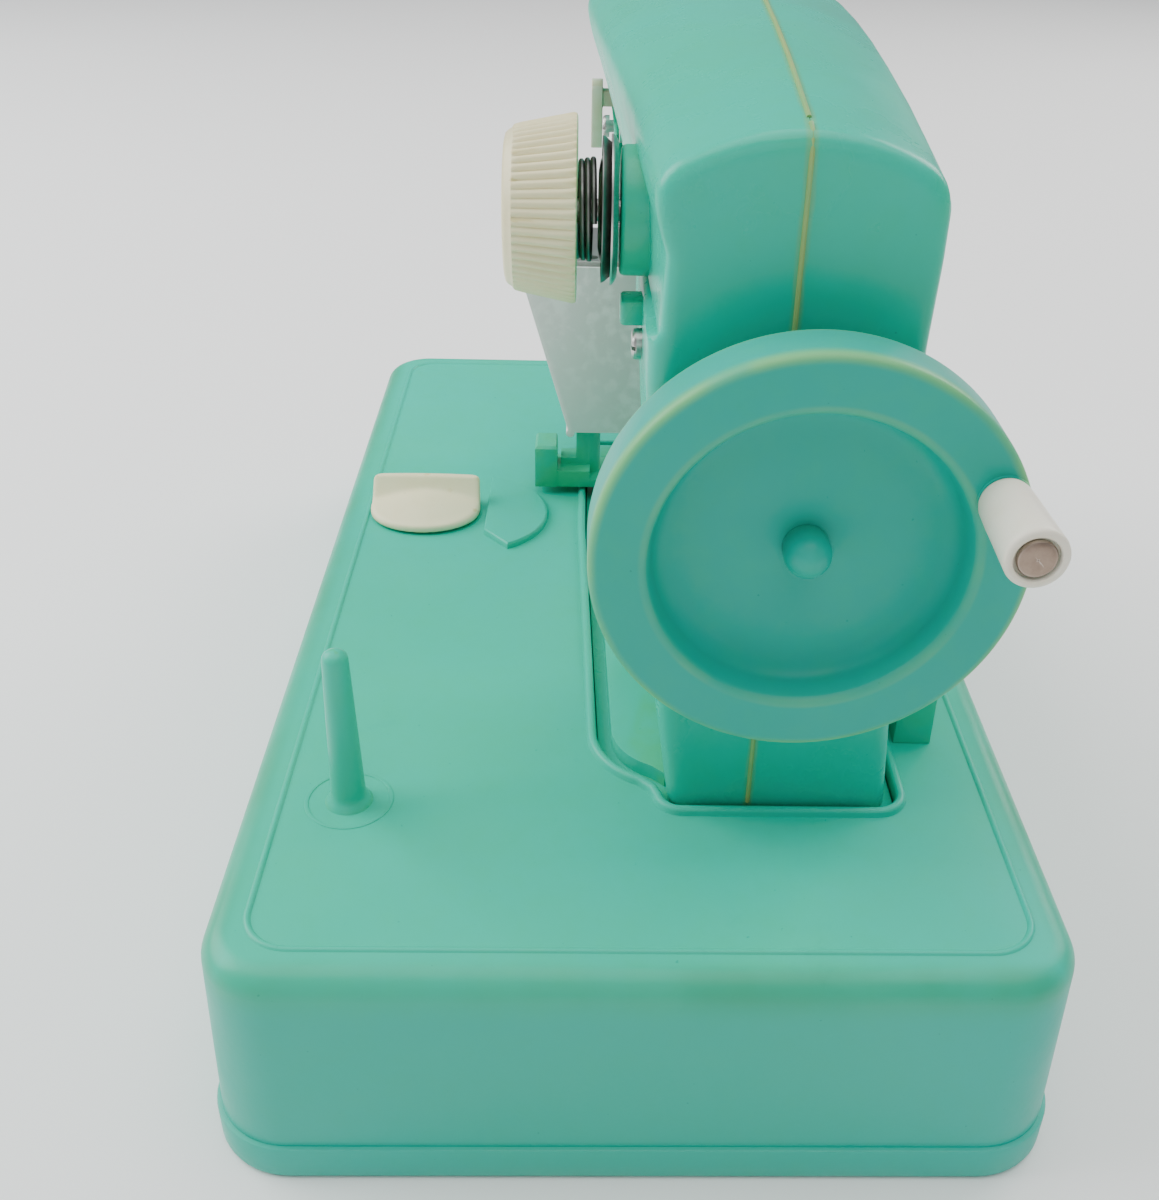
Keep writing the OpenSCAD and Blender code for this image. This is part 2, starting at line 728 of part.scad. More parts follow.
module rocker_beam() {
    color(steel) on_beam() difference() {
        union() {
            rotate([90, 0, 0]) translate([0, 0, -beam_y - beam_t]) linear_extrude(beam_t) polygon([
                [-beam_front - 3, -2.6], [-beam_front - 3, 2.6], [-12, 5], [12, 5], [beam_rear + 3, 3],
                [beam_rear + 3, -3], [12, -5], [-12, -5]]);
            rod_y(0, 0, 5, 7, 16);
            rod_y(-beam_front, 0, 1.2, 5.6, beam_y + eps);
            rod_y(beam_rear, 0, 1.2, beam_y + beam_t - eps, 25);
        }
        rod_y(0, 0, shaft_r + run, 0, 30);
    }
}

module take_up_lever() {
    color(ivory) {
        box([-31.6, -28.6], [-6.7, beam_y], [129.4, 132.4]);
        // finger outside the arm, with a round top
        box([-32, -28.2], [-8.9, -6.7 + eps], [121.5, 132.5]);
        rod_y(-30.1, 132.5, 1.9, -8.9, -6.7 + eps);
        // root that clamps on the beam
        box([-31.6, -26], [beam_y - 1.6, beam_y], [129.4, 142]);
    }
}

module connecting_rod() {
    color(steel) difference() {
        union() {
            box([rod_x, rod_x + rod_t], [shaft_y - 2.5, shaft_y + 2.5], [pinion_z - throw, rear_pin_z - 1]);
            rod_x(shaft_y, pinion_z - throw, 3.8, rod_x, rod_x + rod_t);
            rod_y(rear_pin_x, rear_pin_z, 3.2, shaft_y - 2.5, shaft_y + 2.5);
        }
        rod_x(shaft_y, pinion_z - throw, 1.7, rod_x - 5, rod_x + 10);
        rod_y(rear_pin_x, rear_pin_z, 1.2 + run, 0, 40);
    }
}

module needle_bar() {
    color(steel) rod_z(needle_x, needle_y, bar_r, clamp_z + 3, 149);
}

module needle_bar_driver() {
    z = beam_z + beam_front * sin(beam_tilt);
    color(cream) difference() {
        box([-42, -34], [-0.6, 9], [z - 4, z + 4]);
        rod_z(needle_x, needle_y, bar_r, 100, 160);
        box([needle_x - 1.7, needle_x + 2.5], [5.3, 20], [z - 1.5, z + 1.5]);
    }
}

module needle_clamp() {
    color(steel) difference() {
        union() {
            rod_z(needle_x, needle_y, 3.4, clamp_z, clamp_z + 7);
            rod_x(needle_y, clamp_z + 4.6, 1.5, needle_x - 7, needle_x);
        }
        rod_z(needle_x, needle_y, bar_r, clamp_z + 3, clamp_z + 10);
        rod_z(needle_x, needle_y, 0.6, clamp_z - 1, clamp_z + 4);
    }
}

module needle() {
    color(steel) translate([needle_x, needle_y, 53]) difference() {
        rotate_extrude() polygon([[0, 0], [0.45, 2.4], [0.45, 9], [0.6, 10], [0.6, clamp_z - 50], [0,
            clamp_z - 50]]);
        rod_y(0, 3.6, 0.2, -2, 2, $fn = 16);
    }
}

module presser_bar() {
    color(dark_steel) rod_z(needle_x, presser_y, 1.3, 47, 95);
}

module presser_foot() {
    color(turquoise) difference() {
        union() {
            box([-40.6, -35.4], [-11.2, -8.6], [foot_z + 1.8, 56.2]);
            box([-40.6, -35.4], [-14.8, -11], [foot_z + 1.8, 49]);
            rod_z(needle_x, presser_y, 2.6, foot_z + 1.8, 56.2);
            box([-44, -31.4], [-15.6, 8.5], [foot_z, foot_z + 1.8 + eps]);
            box([-40.6, -31.4], [-16, -8], [foot_z + 1.8, foot_z + 4]);
            hull() {
                box([-39, -31.2], [-20.7, -15.6], [foot_z, foot_z + 9.6]);
                box([-39, -31.8], [-20.1, -15.9], [foot_z, foot_z + 10.2]);
            }
        }
        rod_z(needle_x, presser_y, 1.3, 47, 80);
        box([-39.6, -36.4], [-0.6, 20], [40, 60]);
    }
}

module presser_collar() {
    color(steel) difference() {
        rod_z(needle_x, presser_y, 3, 70, 74);
        rod_z(needle_x, presser_y, 1.3, 60, 80);
    }
}

module presser_spring() {
    color(dark_steel) translate([needle_x, presser_y, 74.5]) coil(2.3, 2.3, 18.2, 6, 0.35, 14, 6);
}

module looper_lever() {
    front = [-36.2, 8.75];
    color(steel) difference() {
        union() {
            rod_z(looper_px, looper_py, 4.5, looper_z, looper_z + 3);
            linear_bar([looper_px, looper_py], front, 5);
            linear_bar([looper_px, looper_py], [54, shaft_y - 1.5], 5);
            box([52.6, 55.4], [8.4, 32.3], [looper_z, looper_z + 3]);
            for (y = [[8.4, 10.4], [29.8, 32.3]]) box([52.6, 55.4], y, [looper_z, 80]);
        }
        rod_z(looper_px, looper_py, 1.5 + run, 10, 60);
        rod_z(front[0], front[1], 0.7, 10, 60);
    }
}

// A flat bar in the XY plane from p to q at the looper lever's height
module linear_bar(p, q, w) {
    d = q - p;
    translate([p[0], p[1], looper_z]) rotate([0, 0, atan2(d[1], d[0])]) {
        translate([0, -w / 2, 0]) cube([norm(d), w, 3]);
        translate([norm(d), 0, 0]) cylinder(r = w / 2, h = 3);
    }
}

module looper_hook() {
    color(steel) {
        rod_z(-36.2, 8.75, 0.7, looper_z, 36.2);
        box([-36.9, -35.5], [8, 9.5], [34.4, 38]);
        translate([-36.9, 8, 36.2]) rotate([90, 0, 90]) linear_extrude(1.4)
            polygon([[0.1, 0], [0.1, 1.8], [-1.6, 1.6], [-3.6, 0.2], [-1.4, 0.6]]);
    }
}

module tension_knob() {
    color(cream) translate([tension_x, 0, tension_z]) rotate([90, 0, 0]) difference() {
        translate([0, 0, -knob_y[1]]) rotate_extrude($fn = 96) polygon([[0, 1], [0, 10.6], [7, 10.6], [10.2, 10.2],
            [10.9, 9.4], [11.6, 9.2], [knob_r, 0], [knob_r - 1.6, 0], [knob_r - 2, 2.4], [3.4, 2.4], [3.4, 1]]);
        translate([0, 0, 11]) cylinder(r = 1.6 + run, h = 9.2);
        translate([0, 0, -knob_y[1] - 1]) cylinder(r = 1.6 + run, h = 9.4);
    }
}

// Thumb lever: a fin along the back that slopes down to a low round dome in front
module stitch_lever() {
    z = base_h + lever_gap;
    color(cream) {
        // low dome
        translate([0, 0, z]) hull() {
            translate([-27.6, -57.6, 0]) cube([1.6, 24.8, 2.2]);
            translate([-21, -54.6, 0]) cylinder(r = 3, h = 2.2, $fn = 32);
            translate([-21, -36, 0]) cylinder(r = 3.2, h = 2.2, $fn = 32);
            translate([-19.6, -45.4, 0]) cylinder(r = 9, h = 1.6, $fn = 32);
            translate([-21.5, -45.4, 0]) cylinder(r = 3.5, h = 4, $fn = 32);
        }
        // fin along the back
        translate([0, 0, z]) hull() {
            translate([-27.6, -57.6, 0]) cube([1.6, 24.8, 6.6]);
            translate([-22.6, -57.2, 0]) cube([0.4, 24, 2]);
        }
        rod_z(lever_x, lever_y, 1.5, base_h - 5, z + 0.5);
        rod_z(lever_x, lever_y, 2.6, base_h - 5, base_h - wall - 0.3);
    }
}

base_shell();
bottom_pan();
base_screws();
spool_pin();
rear_clamp_block();
clamp_screw();
machine_bed();
throat_plate();
throat_screws();
front_body_shell();
rear_body_shell();
body_screws();
head_cover();
cover_screws();
head_bracket();
bracket_screws();
main_bush();
gear_frame();
frame_screws();
beam_pivot_pin();
needle_bar_bush();
looper_pivot_pin();
feed_guide();
tension_stud();
tension_nut();
tension_disc_inner();
tension_disc_outer();
tension_spring();
handwheel();
hub_cap();
main_shaft();
main_gear();
handle_pin();
crank_handle();
crank_shaft();
crank_pinion();
crank_disc();
looper_cam();
rocker_beam();
take_up_lever();
connecting_rod();
needle_bar();
needle_bar_driver();
needle_clamp();
needle();
presser_bar();
presser_foot();
presser_collar();
presser_spring();
feed_dog();
looper_lever();
looper_hook();
tension_knob();
stitch_lever();
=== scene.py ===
import math

import bmesh
import bpy
import numpy as np
from mathutils import Matrix, Vector


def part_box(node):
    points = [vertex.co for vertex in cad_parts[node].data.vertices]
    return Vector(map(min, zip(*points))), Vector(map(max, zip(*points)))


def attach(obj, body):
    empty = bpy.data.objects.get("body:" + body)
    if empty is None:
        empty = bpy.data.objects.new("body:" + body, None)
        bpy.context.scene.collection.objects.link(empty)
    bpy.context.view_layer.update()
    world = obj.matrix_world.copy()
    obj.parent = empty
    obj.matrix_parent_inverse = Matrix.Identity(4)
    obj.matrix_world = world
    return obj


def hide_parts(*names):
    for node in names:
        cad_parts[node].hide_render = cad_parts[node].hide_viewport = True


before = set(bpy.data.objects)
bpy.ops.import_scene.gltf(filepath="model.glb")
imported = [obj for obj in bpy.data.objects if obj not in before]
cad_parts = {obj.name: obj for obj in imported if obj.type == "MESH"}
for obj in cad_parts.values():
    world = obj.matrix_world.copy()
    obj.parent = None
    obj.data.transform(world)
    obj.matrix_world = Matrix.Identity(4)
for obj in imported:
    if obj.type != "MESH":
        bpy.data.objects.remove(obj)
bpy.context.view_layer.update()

# Sizes below are millimetres in the row frame; MM turns them into metres.
MM = 0.001


def span(node):
    """Lowest and highest corner of a CAD node, in millimetres."""
    low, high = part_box(node)
    return [c / MM for c in low], [c / MM for c in high]


# ---------------------------------------------------------------- camera and light

CAMERA_AT = Vector((0.249085, -0.009784, 0.185975))
YAW, PITCH, ROLL = (math.radians(a) for a in (-1.946, 31.822, 1.8))

forward = -Vector((math.cos(PITCH) * math.cos(YAW), math.cos(PITCH) * math.sin(YAW), math.sin(PITCH)))
level = forward.cross(Vector((0, 0, 1))).normalized()
upright = level.cross(forward)
right = math.cos(ROLL) * level + math.sin(ROLL) * upright
up = math.cos(ROLL) * upright - math.sin(ROLL) * level
camera = bpy.data.objects.new("camera", bpy.data.cameras.new("camera"))
bpy.context.scene.collection.objects.link(camera)
camera.matrix_world = Matrix.Translation(CAMERA_AT) @ Matrix((right, up, -forward)).transposed().to_4x4()
camera.data.lens = 40.07
camera.data.sensor_width = 36
camera.data.shift_x = -0.0328
camera.data.shift_y = 0.0014
camera.data.clip_start = 0.01
bpy.context.scene.camera = camera


def softbox(name, place, aim, size, power, tint=(1, 1, 1)):
    light = bpy.data.lights.new(name, "AREA")
    light.shape = "RECTANGLE"
    light.size, light.size_y = size
    light.energy = power
    light.color = tint
    lamp = bpy.data.objects.new(name, light)
    bpy.context.scene.collection.objects.link(lamp)
    lamp.location = place
    lamp.rotation_euler = (Vector(aim) - Vector(place)).to_track_quat("-Z", "Y").to_euler()


softbox("window_left", (-0.25, -1.0, 0.75), (0, 0, 0.06), (1.1, 0.9), 19, (0.97, 0.99, 1.0))
softbox("ceiling", (0.1, 0.1, 1.4), (0, 0, 0), (1.6, 1.6), 19)
softbox("back_right", (-0.7, 0.9, 0.7), (0, 0, 0.1), (0.8, 0.6), 8, (1.0, 0.98, 0.95))
softbox("camera_side", (1.3, -0.1, 0.5), (0, 0, 0.06), (0.9, 0.6), 1.5)

world = bpy.data.worlds.new("studio")
world.use_nodes = True
world.node_tree.nodes["Background"].inputs["Color"].default_value = (0.83, 0.86, 0.9, 1)
world.node_tree.nodes["Background"].inputs["Strength"].default_value = 0.36
bpy.context.scene.world = world


# ---------------------------------------------------------------- materials

class Graph:
    """A material and short ways to add nodes to it."""

    def __init__(self, name):
        self.material = bpy.data.materials.new(name)
        self.material.use_nodes = True
        self.tree = self.material.node_tree
        self.shader = self.tree.nodes["Principled BSDF"]
        self.place = self.add("ShaderNodeTexCoord").outputs["Object"]

    def add(self, kind, links=None, **settings):
        node = self.tree.nodes.new(kind)
        for key, value in settings.items():
            setattr(node, key, value)
        for key, value in (links or {}).items():
            self.feed(node.inputs[key], value)
        return node

    def feed(self, socket, value):
        if isinstance(value, bpy.types.NodeSocket):
            self.tree.links.new(value, socket)
        else:
            socket.default_value = value

    def noise(self, scale, detail=3.0, roughness=0.5, place=None):
        links = {"Vector": place or self.place, "Scale": scale, "Detail": detail, "Roughness": roughness}
        return self.add("ShaderNodeTexNoise", links).outputs["Fac"]

    def spread(self, value, low, high, to_low=0.0, to_high=1.0, smooth=True):
        links = {"Value": value, "From Min": low, "From Max": high, "To Min": to_low, "To Max": to_high}
        kind = "SMOOTHSTEP" if smooth else "LINEAR"
        return self.add("ShaderNodeMapRange", links, interpolation_type=kind, clamp=True).outputs["Result"]

    def math(self, operation, a, b=0.0):
        return self.add("ShaderNodeMath", {0: a, 1: b}, operation=operation).outputs[0]

    def mix(self, share, a, b, kind="MIX"):
        node = self.tree.nodes.new("ShaderNodeMix")
        node.data_type = "RGBA"
        node.blend_type = kind
        self.feed(node.inputs[0], share)
        self.feed(node.inputs[6], a)
        self.feed(node.inputs[7], b)
        return node.outputs[2]

    def axes(self):
        node = self.add("ShaderNodeSeparateXYZ", {"Vector": self.place})
        return node.outputs["X"], node.outputs["Y"], node.outputs["Z"]

    def bump(self, height, strength, distance=0.0002):
        links = {"Height": height, "Strength": strength, "Distance": distance}
        self.feed(self.shader.inputs["Normal"], self.add("ShaderNodeBump", links).outputs["Normal"])

    def edges(self, low=0.51, high=0.58):
        return self.spread(self.add("ShaderNodeNewGeometry").outputs["Pointiness"], low, high)


def rgb(red, green, blue):
    """Linear colour from 0 to 255 display values."""
    return tuple(((c / 255 + 0.055) / 1.055) ** 2.4 if c > 10 else c / 3294.6 for c in (red, green, blue)) + (1,)


def plastic(name, colour, aged, dirt, rough=0.33, wear=0.55, extra=None):
    """Old moulded plastic: cloudy colour, yellowed edges, faint smears and a fine moulded grain."""
    g = Graph(name)
    clouds = g.spread(g.noise(14, 4, 0.55), 0.35, 0.68)
    tone = g.mix(clouds, colour, g.mix(0.22, colour, aged))
    fine = g.spread(g.noise(260, 3), 0.4, 0.75)
    tone = g.mix(g.math("MULTIPLY", fine, 0.10), tone, aged)
    if extra:
        tone = extra(g, tone)
    broken = g.spread(g.noise(95, 4, 0.6), 0.32, 0.6)
    worn = g.math("MULTIPLY", g.math("MULTIPLY", g.edges(), broken), wear)
    tone = g.mix(worn, tone, aged)
    smear = g.spread(g.noise(31, 6, 0.7), 0.62, 0.82)
    tone = g.mix(g.math("MULTIPLY", smear, 0.22), tone, dirt)
    specks = g.spread(g.noise(1150, 1), 0.79, 0.82)
    tone = g.mix(g.math("MULTIPLY", specks, 0.35), tone, dirt)
    g.feed(g.shader.inputs["Base Color"], tone)
    dull = g.spread(g.noise(40, 5, 0.65), 0.3, 0.75, rough - 0.06, rough + 0.12)
    g.feed(g.shader.inputs["Roughness"], dull)
    g.shader.inputs["IOR"].default_value = 1.49
    g.shader.inputs["Specular IOR Level"].default_value = 0.3
    g.shader.inputs["Subsurface Weight"].default_value = 0.06
    g.shader.inputs["Subsurface Scale"].default_value = 0.004
    g.shader.inputs["Subsurface Radius"].default_value = (0.5, 1.0, 0.9)
    grain = g.math("ADD", g.math("MULTIPLY", g.noise(900, 2), 0.5), g.noise(55, 3))
    g.bump(grain, 0.12, 0.0003)
    return g.material


def metal(name, colour, stain, rough=0.34, grain=(1, 1, 1), worn=(0.5, 0.5, 0.5, 1)):
    """Plain machine steel: drawn grain, dull patches and brighter edges."""
    g = Graph(name)
    stretch = g.add("ShaderNodeMapping", {"Vector": g.place, "Scale": grain}).outputs["Vector"]
    lines = g.noise(420, 4, 0.7, stretch)
    patches = g.spread(g.noise(120, 5, 0.65), 0.45, 0.72)
    tone = g.mix(g.math("MULTIPLY", patches, 0.45), colour, stain)
    tone = g.mix(g.math("MULTIPLY", g.spread(lines, 0.35, 0.7), 0.25), tone, stain)
    tone = g.mix(g.math("MULTIPLY", g.edges(0.52, 0.6), 0.5), tone, worn)
    g.feed(g.shader.inputs["Base Color"], tone)
    g.shader.inputs["Metallic"].default_value = 1.0
    g.feed(g.shader.inputs["Roughness"], g.spread(patches, 0, 1, rough, rough + 0.16))
    g.bump(lines, 0.15, 0.0001)
    return g.material


def painted(name, colour, chip):
    """Painted sheet: satin coat with fine orange peel, dust specks and bare, chipped edges."""
    g = Graph(name)
    tone = g.mix(g.spread(g.noise(22, 4), 0.35, 0.7), colour, g.mix(0.12, colour, chip))
    worn = g.math("MULTIPLY", g.edges(0.52, 0.57), g.spread(g.noise(300, 4), 0.35, 0.55))
    tone = g.mix(g.math("MULTIPLY", worn, 0.35), tone, chip)
    specks = g.spread(g.noise(600, 1), 0.8, 0.84)
    tone = g.mix(g.math("MULTIPLY", specks, 0.2), tone, chip)
    g.feed(g.shader.inputs["Base Color"], tone)
    g.feed(g.shader.inputs["Roughness"], g.spread(g.noise(60, 4), 0.3, 0.7, 0.34, 0.5))
    g.shader.inputs["Coat Weight"].default_value = 0.2
    g.shader.inputs["Coat Roughness"].default_value = 0.3
    g.bump(g.noise(700, 2), 0.1, 0.0002)
    return g.material


TEAL = rgb(0, 190, 164)
TEAL_AGED = rgb(44, 184, 118)
TEAL_DIRT = rgb(12, 104, 92)
BASE_TOP = 41.4
RIDGE = (111.9, 58.4)
SEAM_Y = 18.2


def base_roll_tint_and_wall_shade(g, tone):
    """Greener roll round the base's top edge, and painted shade: the wall below the top mixed towards a darker,
    bluer teal.
    """
    x, y, z = g.axes()
    outside_x = g.math("SUBTRACT", g.math("ABSOLUTE", x), (RIDGE[0] + 1) * MM)
    outside_y = g.math("SUBTRACT", g.math("ABSOLUTE", y), (RIDGE[1] + 1) * MM)
    rim = g.spread(g.math("MAXIMUM", outside_x, outside_y), 0, 3.5 * MM)
    high = g.spread(z, (BASE_TOP - 9) * MM, (BASE_TOP - 2) * MM)
    patchy = g.spread(g.noise(45, 4), 0.3, 0.7, 0.35, 0.8)
    tone = g.mix(g.math("MULTIPLY", g.math("MULTIPLY", rim, high), patchy), tone, rgb(40, 158, 118))
    # Painted shade: everything below the top is mixed 35% towards a darker, bluer teal, like the side facing away
    # from the light.
    wall = g.math("SUBTRACT", 1.0, high)
    return g.mix(g.math("MULTIPLY", wall, 0.35), tone, rgb(30, 150, 146))


def seam_ageing(g, tone):
    """Yellowed stain on both sides of the glued seam."""
    wander = g.math("MULTIPLY", g.math("SUBTRACT", g.noise(160, 3), 0.5), 0.8 * MM)
    off = g.math("ABSOLUTE", g.math("ADD", g.math("SUBTRACT", g.axes()[1], SEAM_Y * MM), wander))
    near = g.spread(off, 0.3 * MM, 1.1 * MM, 1, 0)
    return g.mix(g.math("MULTIPLY", near, 0.55), tone, rgb(120, 176, 110))


WHEEL = (96.4, 20.9, 96.9)      # middle of the handwheel rim's front face
RIM_R, RIM_IN = 29.9, 22.4


def wheel_ageing(g, tone):
    """Yellowed, hand-worn outer and inner edges of the rim."""
    x, y, z = g.axes()
    off_y = g.math("SUBTRACT", y, WHEEL[1] * MM)
    off_z = g.math("SUBTRACT", z, WHEEL[2] * MM)
    squares = g.math("ADD", g.math("POWER", off_y, 2.0), g.math("POWER", off_z, 2.0))
    radius = g.math("SQRT", squares)
    outer = g.spread(radius, (RIM_R - 1.5) * MM, (RIM_R - 0.2) * MM)
    outer = g.math("MULTIPLY", outer, g.spread(x, (WHEEL[0] - 3.0) * MM, (WHEEL[0] - 0.5) * MM))
    back = g.math("MULTIPLY", g.spread(radius, (RIM_R - 1.5) * MM, (RIM_R - 0.2) * MM),
                  g.spread(x, (WHEEL[0] - 9.6) * MM, (WHEEL[0] - 8.0) * MM, 1, 0))
    inner = g.spread(g.math("ABSOLUTE", g.math("SUBTRACT", radius, (RIM_IN + 0.1) * MM)), 0.3 * MM, 0.9 * MM, 1, 0)
    inner = g.math("MULTIPLY", inner, 0.35)
    patchy = g.spread(g.noise(70, 4), 0.3, 0.6, 0.35, 1.0)
    worn = g.math("MULTIPLY", g.math("MAXIMUM", g.math("MAXIMUM", outer, back), inner), patchy)
    return g.mix(g.math("MULTIPLY", worn, 0.75), tone, rgb(118, 190, 108))


MATERIAL = {
    "base": plastic("base_plastic", TEAL, TEAL_AGED, TEAL_DIRT, 0.36, 0.0, base_roll_tint_and_wall_shade),
    "body": plastic("body_plastic", TEAL, TEAL_AGED, TEAL_DIRT, 0.27, 0.35, seam_ageing),
    "wheel": plastic("wheel_plastic", rgb(6, 166, 148), TEAL_AGED, TEAL_DIRT, 0.42, 0.0, wheel_ageing),
    "teal": plastic("small_teal_plastic", TEAL, TEAL_AGED, TEAL_DIRT, 0.32, 0.6),
    "cream": plastic("cream_plastic", rgb(240, 233, 194), rgb(214, 198, 128), rgb(140, 118, 70), 0.36, 0.6),
    "ivory": plastic("ivory_plastic", rgb(234, 230, 214), rgb(206, 190, 140), rgb(120, 100, 70), 0.34, 0.5),
    "gear": plastic("gear_plastic", rgb(222, 218, 204), rgb(196, 186, 150), rgb(90, 80, 60), 0.45, 0.3),
    "steel": metal("plain_steel", rgb(186, 186, 182), rgb(120, 112, 100), 0.32, (1, 1, 6), rgb(225, 225, 222)),
    "rivet": metal("rivet_steel", rgb(150, 132, 118), rgb(92, 70, 58), 0.3, (1, 1, 1), rgb(210, 200, 190)),
    "dark": metal("dark_steel", rgb(112, 114, 108), rgb(50, 52, 50), 0.36, (1, 1, 1), rgb(150, 150, 150)),
    "brass": metal("dull_brass", rgb(196, 164, 96), rgb(128, 96, 52), 0.34, (1, 1, 6), rgb(228, 206, 140)),
    "grey": painted("grey_painted_sheet", rgb(246, 238, 236), rgb(170, 164, 158)),
    "glue": plastic("yellowed_glue", rgb(112, 176, 112), rgb(176, 172, 92), rgb(90, 110, 60), 0.4, 0.4),
}

stage_graph = Graph("floor")
stage_graph.feed(stage_graph.shader.inputs["Base Color"],
                 stage_graph.mix(stage_graph.noise(3, 3), rgb(250, 250, 249), rgb(244, 244, 243)))
stage_graph.shader.inputs["Roughness"].default_value = 0.7
floor_mesh = bpy.data.meshes.new("floor")
floor_mesh.from_pydata([(-6, -6, 0), (6, -6, 0), (6, 6, 0), (-6, 6, 0)], [], [(0, 1, 2, 3)])
floor_mesh.materials.append(stage_graph.material)
floor = bpy.data.objects.new("floor", floor_mesh)
bpy.context.scene.collection.objects.link(floor)


# ---------------------------------------------------------------- mesh tools

def piece(name, parts, look, body, nodes=(), sharp=32):
    """Makes one object from (points, faces) parts in millimetres and puts it on a body."""
    points, faces = [], []
    for part_points, part_faces in parts:
        faces += [[i + len(points) for i in f] for f in part_faces]
        points += [Vector(p) * MM for p in part_points]
    mesh = bpy.data.meshes.new(name)
    mesh.from_pydata(points, [], faces)
    bm = bmesh.new()
    bm.from_mesh(mesh)
    bmesh.ops.remove_doubles(bm, verts=bm.verts, dist=1e-6)
    bmesh.ops.recalc_face_normals(bm, faces=bm.faces)
    bm.to_mesh(mesh)
    bm.free()
    return place(name, mesh, look, body, nodes, sharp)


def place(name, mesh, look, body, nodes=(), sharp=32):
    mesh.materials.clear()
    mesh.materials.append(MATERIAL[look])
    mesh.polygons.foreach_set("use_smooth", [True] * len(mesh.polygons))
    mesh.set_sharp_from_angle(angle=math.radians(sharp))
    obj = bpy.data.objects.new(name, mesh)
    bpy.context.scene.collection.objects.link(obj)
    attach(obj, body)
    if nodes:
        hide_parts(*nodes)
    return obj


def apply_modifiers(obj):
    bpy.context.view_layer.update()
    done = bpy.data.meshes.new_from_object(obj.evaluated_get(bpy.context.evaluated_depsgraph_get()))
    obj.modifiers.clear()
    obj.data = done
    return obj


def refine(node, look, body, width, segments=3, name=None):
    """A CAD node's own shape with its edges broken by a small rounded bevel."""
    bm = bmesh.new()
    bm.from_mesh(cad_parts[node].data)
    bmesh.ops.remove_doubles(bm, verts=bm.verts, dist=2e-6)
    bmesh.ops.dissolve_limit(bm, angle_limit=math.radians(1), verts=bm.verts, edges=bm.edges)
    mesh = bpy.data.meshes.new(name or node + "_body")
    bm.to_mesh(mesh)
    bm.free()
    obj = place(name or node + "_moulded", mesh, look, body, [node])
    bevel = obj.modifiers.new("bevel", "BEVEL")
    bevel.width = width * MM
    bevel.segments = segments
    bevel.limit_method = "ANGLE"
    bevel.angle_limit = math.radians(35)
    apply_modifiers(obj)
    obj.data.polygons.foreach_set("use_smooth", [True] * len(obj.data.polygons))
    obj.data.set_sharp_from_angle(angle=math.radians(32))
    return obj


def arc(centre, radius, start, end, steps):
    return [(centre[0] + radius * math.cos(math.radians(start + (end - start) * i / steps)),
             centre[1] + radius * math.sin(math.radians(start + (end - start) * i / steps)))
            for i in range(steps + 1)]


def rounded_rect(length, width, radius, steps=10):
    """Outline of a rectangle with round corners, centred on the origin."""
    x, y = length / 2 - radius, width / 2 - radius
    return (arc((x, y), radius, 0, 90, steps) + arc((-x, y), radius, 90, 180, steps)
            + arc((-x, -y), radius, 180, 270, steps) + arc((x, -y), radius, 270, 360, steps))


def rings(loops, closed=False, cap=True):
    """Skins a list of point loops that all have as many points."""
    n = len(loops[0])
    points = [p for loop in loops for p in loop]
    count = len(loops)
    faces = [[a * n + i, a * n + (i + 1) % n, ((a + 1) % count) * n + (i + 1) % n, ((a + 1) % count) * n + i]
             for a in range(count if closed else count - 1) for i in range(n)]
    if cap and not closed:
        faces += [list(range(n - 1, -1, -1)), list(range((count - 1) * n, count * n))]
    return points, faces


def lathe(profile, origin, along="x", steps=96, closed=True):
    """Turns (radius, height) points about an axis through origin. A closed profile joins its ends."""
    def spot(r, h, a):
        u, v = r * math.cos(a), r * math.sin(a)
        point = {"x": (h, u, v), "y": (u, h, v), "-y": (u, -h, v), "z": (u, v, h)}[along]
        return tuple(o + p for o, p in zip(origin, point))
    angles = [2 * math.pi * i / steps for i in range(steps)]
    loops = [[spot(max(r, 0.002), h, a) for a in angles] for r, h in profile]
    return rings(loops, closed=closed)


def sweep(path, section, closed=True):
    """Carries a (sideways, up) section along a level path of (x, y) points at height 0."""
    count = len(path)
    loops = []
    for i, point in enumerate(path):
        before = path[(i - 1) % count] if closed or i else point
        after = path[(i + 1) % count] if closed or i < count - 1 else point
        along = (Vector(after) - Vector(before)).normalized()
        side = Vector((along.y, -along.x))
        loops.append([(point[0] + side.x * s, point[1] + side.y * s, z) for s, z in section])
    return rings(loops, closed=closed)


def tube(path, radius, sides=10, closed=False):
    """A round wire along 3-D points."""
    count = len(path)
    spots = [Vector(p) for p in path]
    loops, side = [], None
    for i, spot in enumerate(spots):
        before = spots[(i - 1) % count] if closed or i else spot
        after = spots[(i + 1) % count] if closed or i < count - 1 else spot
        along = (after - before).normalized()
        if side is None:
            side = along.orthogonal().normalized()
        side = (side - along * side.dot(along)).normalized()
        other = along.cross(side)
        loops.append([tuple(spot + radius * (math.cos(a) * side + math.sin(a) * other))
                      for a in (2 * math.pi * k / sides for k in range(sides))])
    return rings(loops, closed=closed)


def bar(low, high, radius, steps=4, axis=2):
    """A block with round edges along one axis and rounded ends."""
    u, v = [i for i in range(3) if i != axis]
    size = (high[u] - low[u], high[v] - low[v])
    middle = ((high[u] + low[u]) / 2, (high[v] + low[v]) / 2)
    loops = []
    soft = radius * 0.6
    ends = [(low[axis] + soft * (1 - math.sin(a)), soft * (1 - math.cos(a)))
            for a in (math.radians(90 - 30 * k) for k in range(4))]
    ends += [(high[axis] - (h - low[axis]), inset) for h, inset in reversed(ends)]
    for height, inset in ends:
        loop = []
        for a, b in rounded_rect(size[0] - 2 * inset, size[1] - 2 * inset, max(radius - inset, 0.05), steps):
            point = [0, 0, 0]
            point[u], point[v], point[axis] = middle[0] + a, middle[1] + b, height
            loop.append(tuple(point))
        loops.append(loop)
    return rings(loops)


# ---------------------------------------------------------------- base

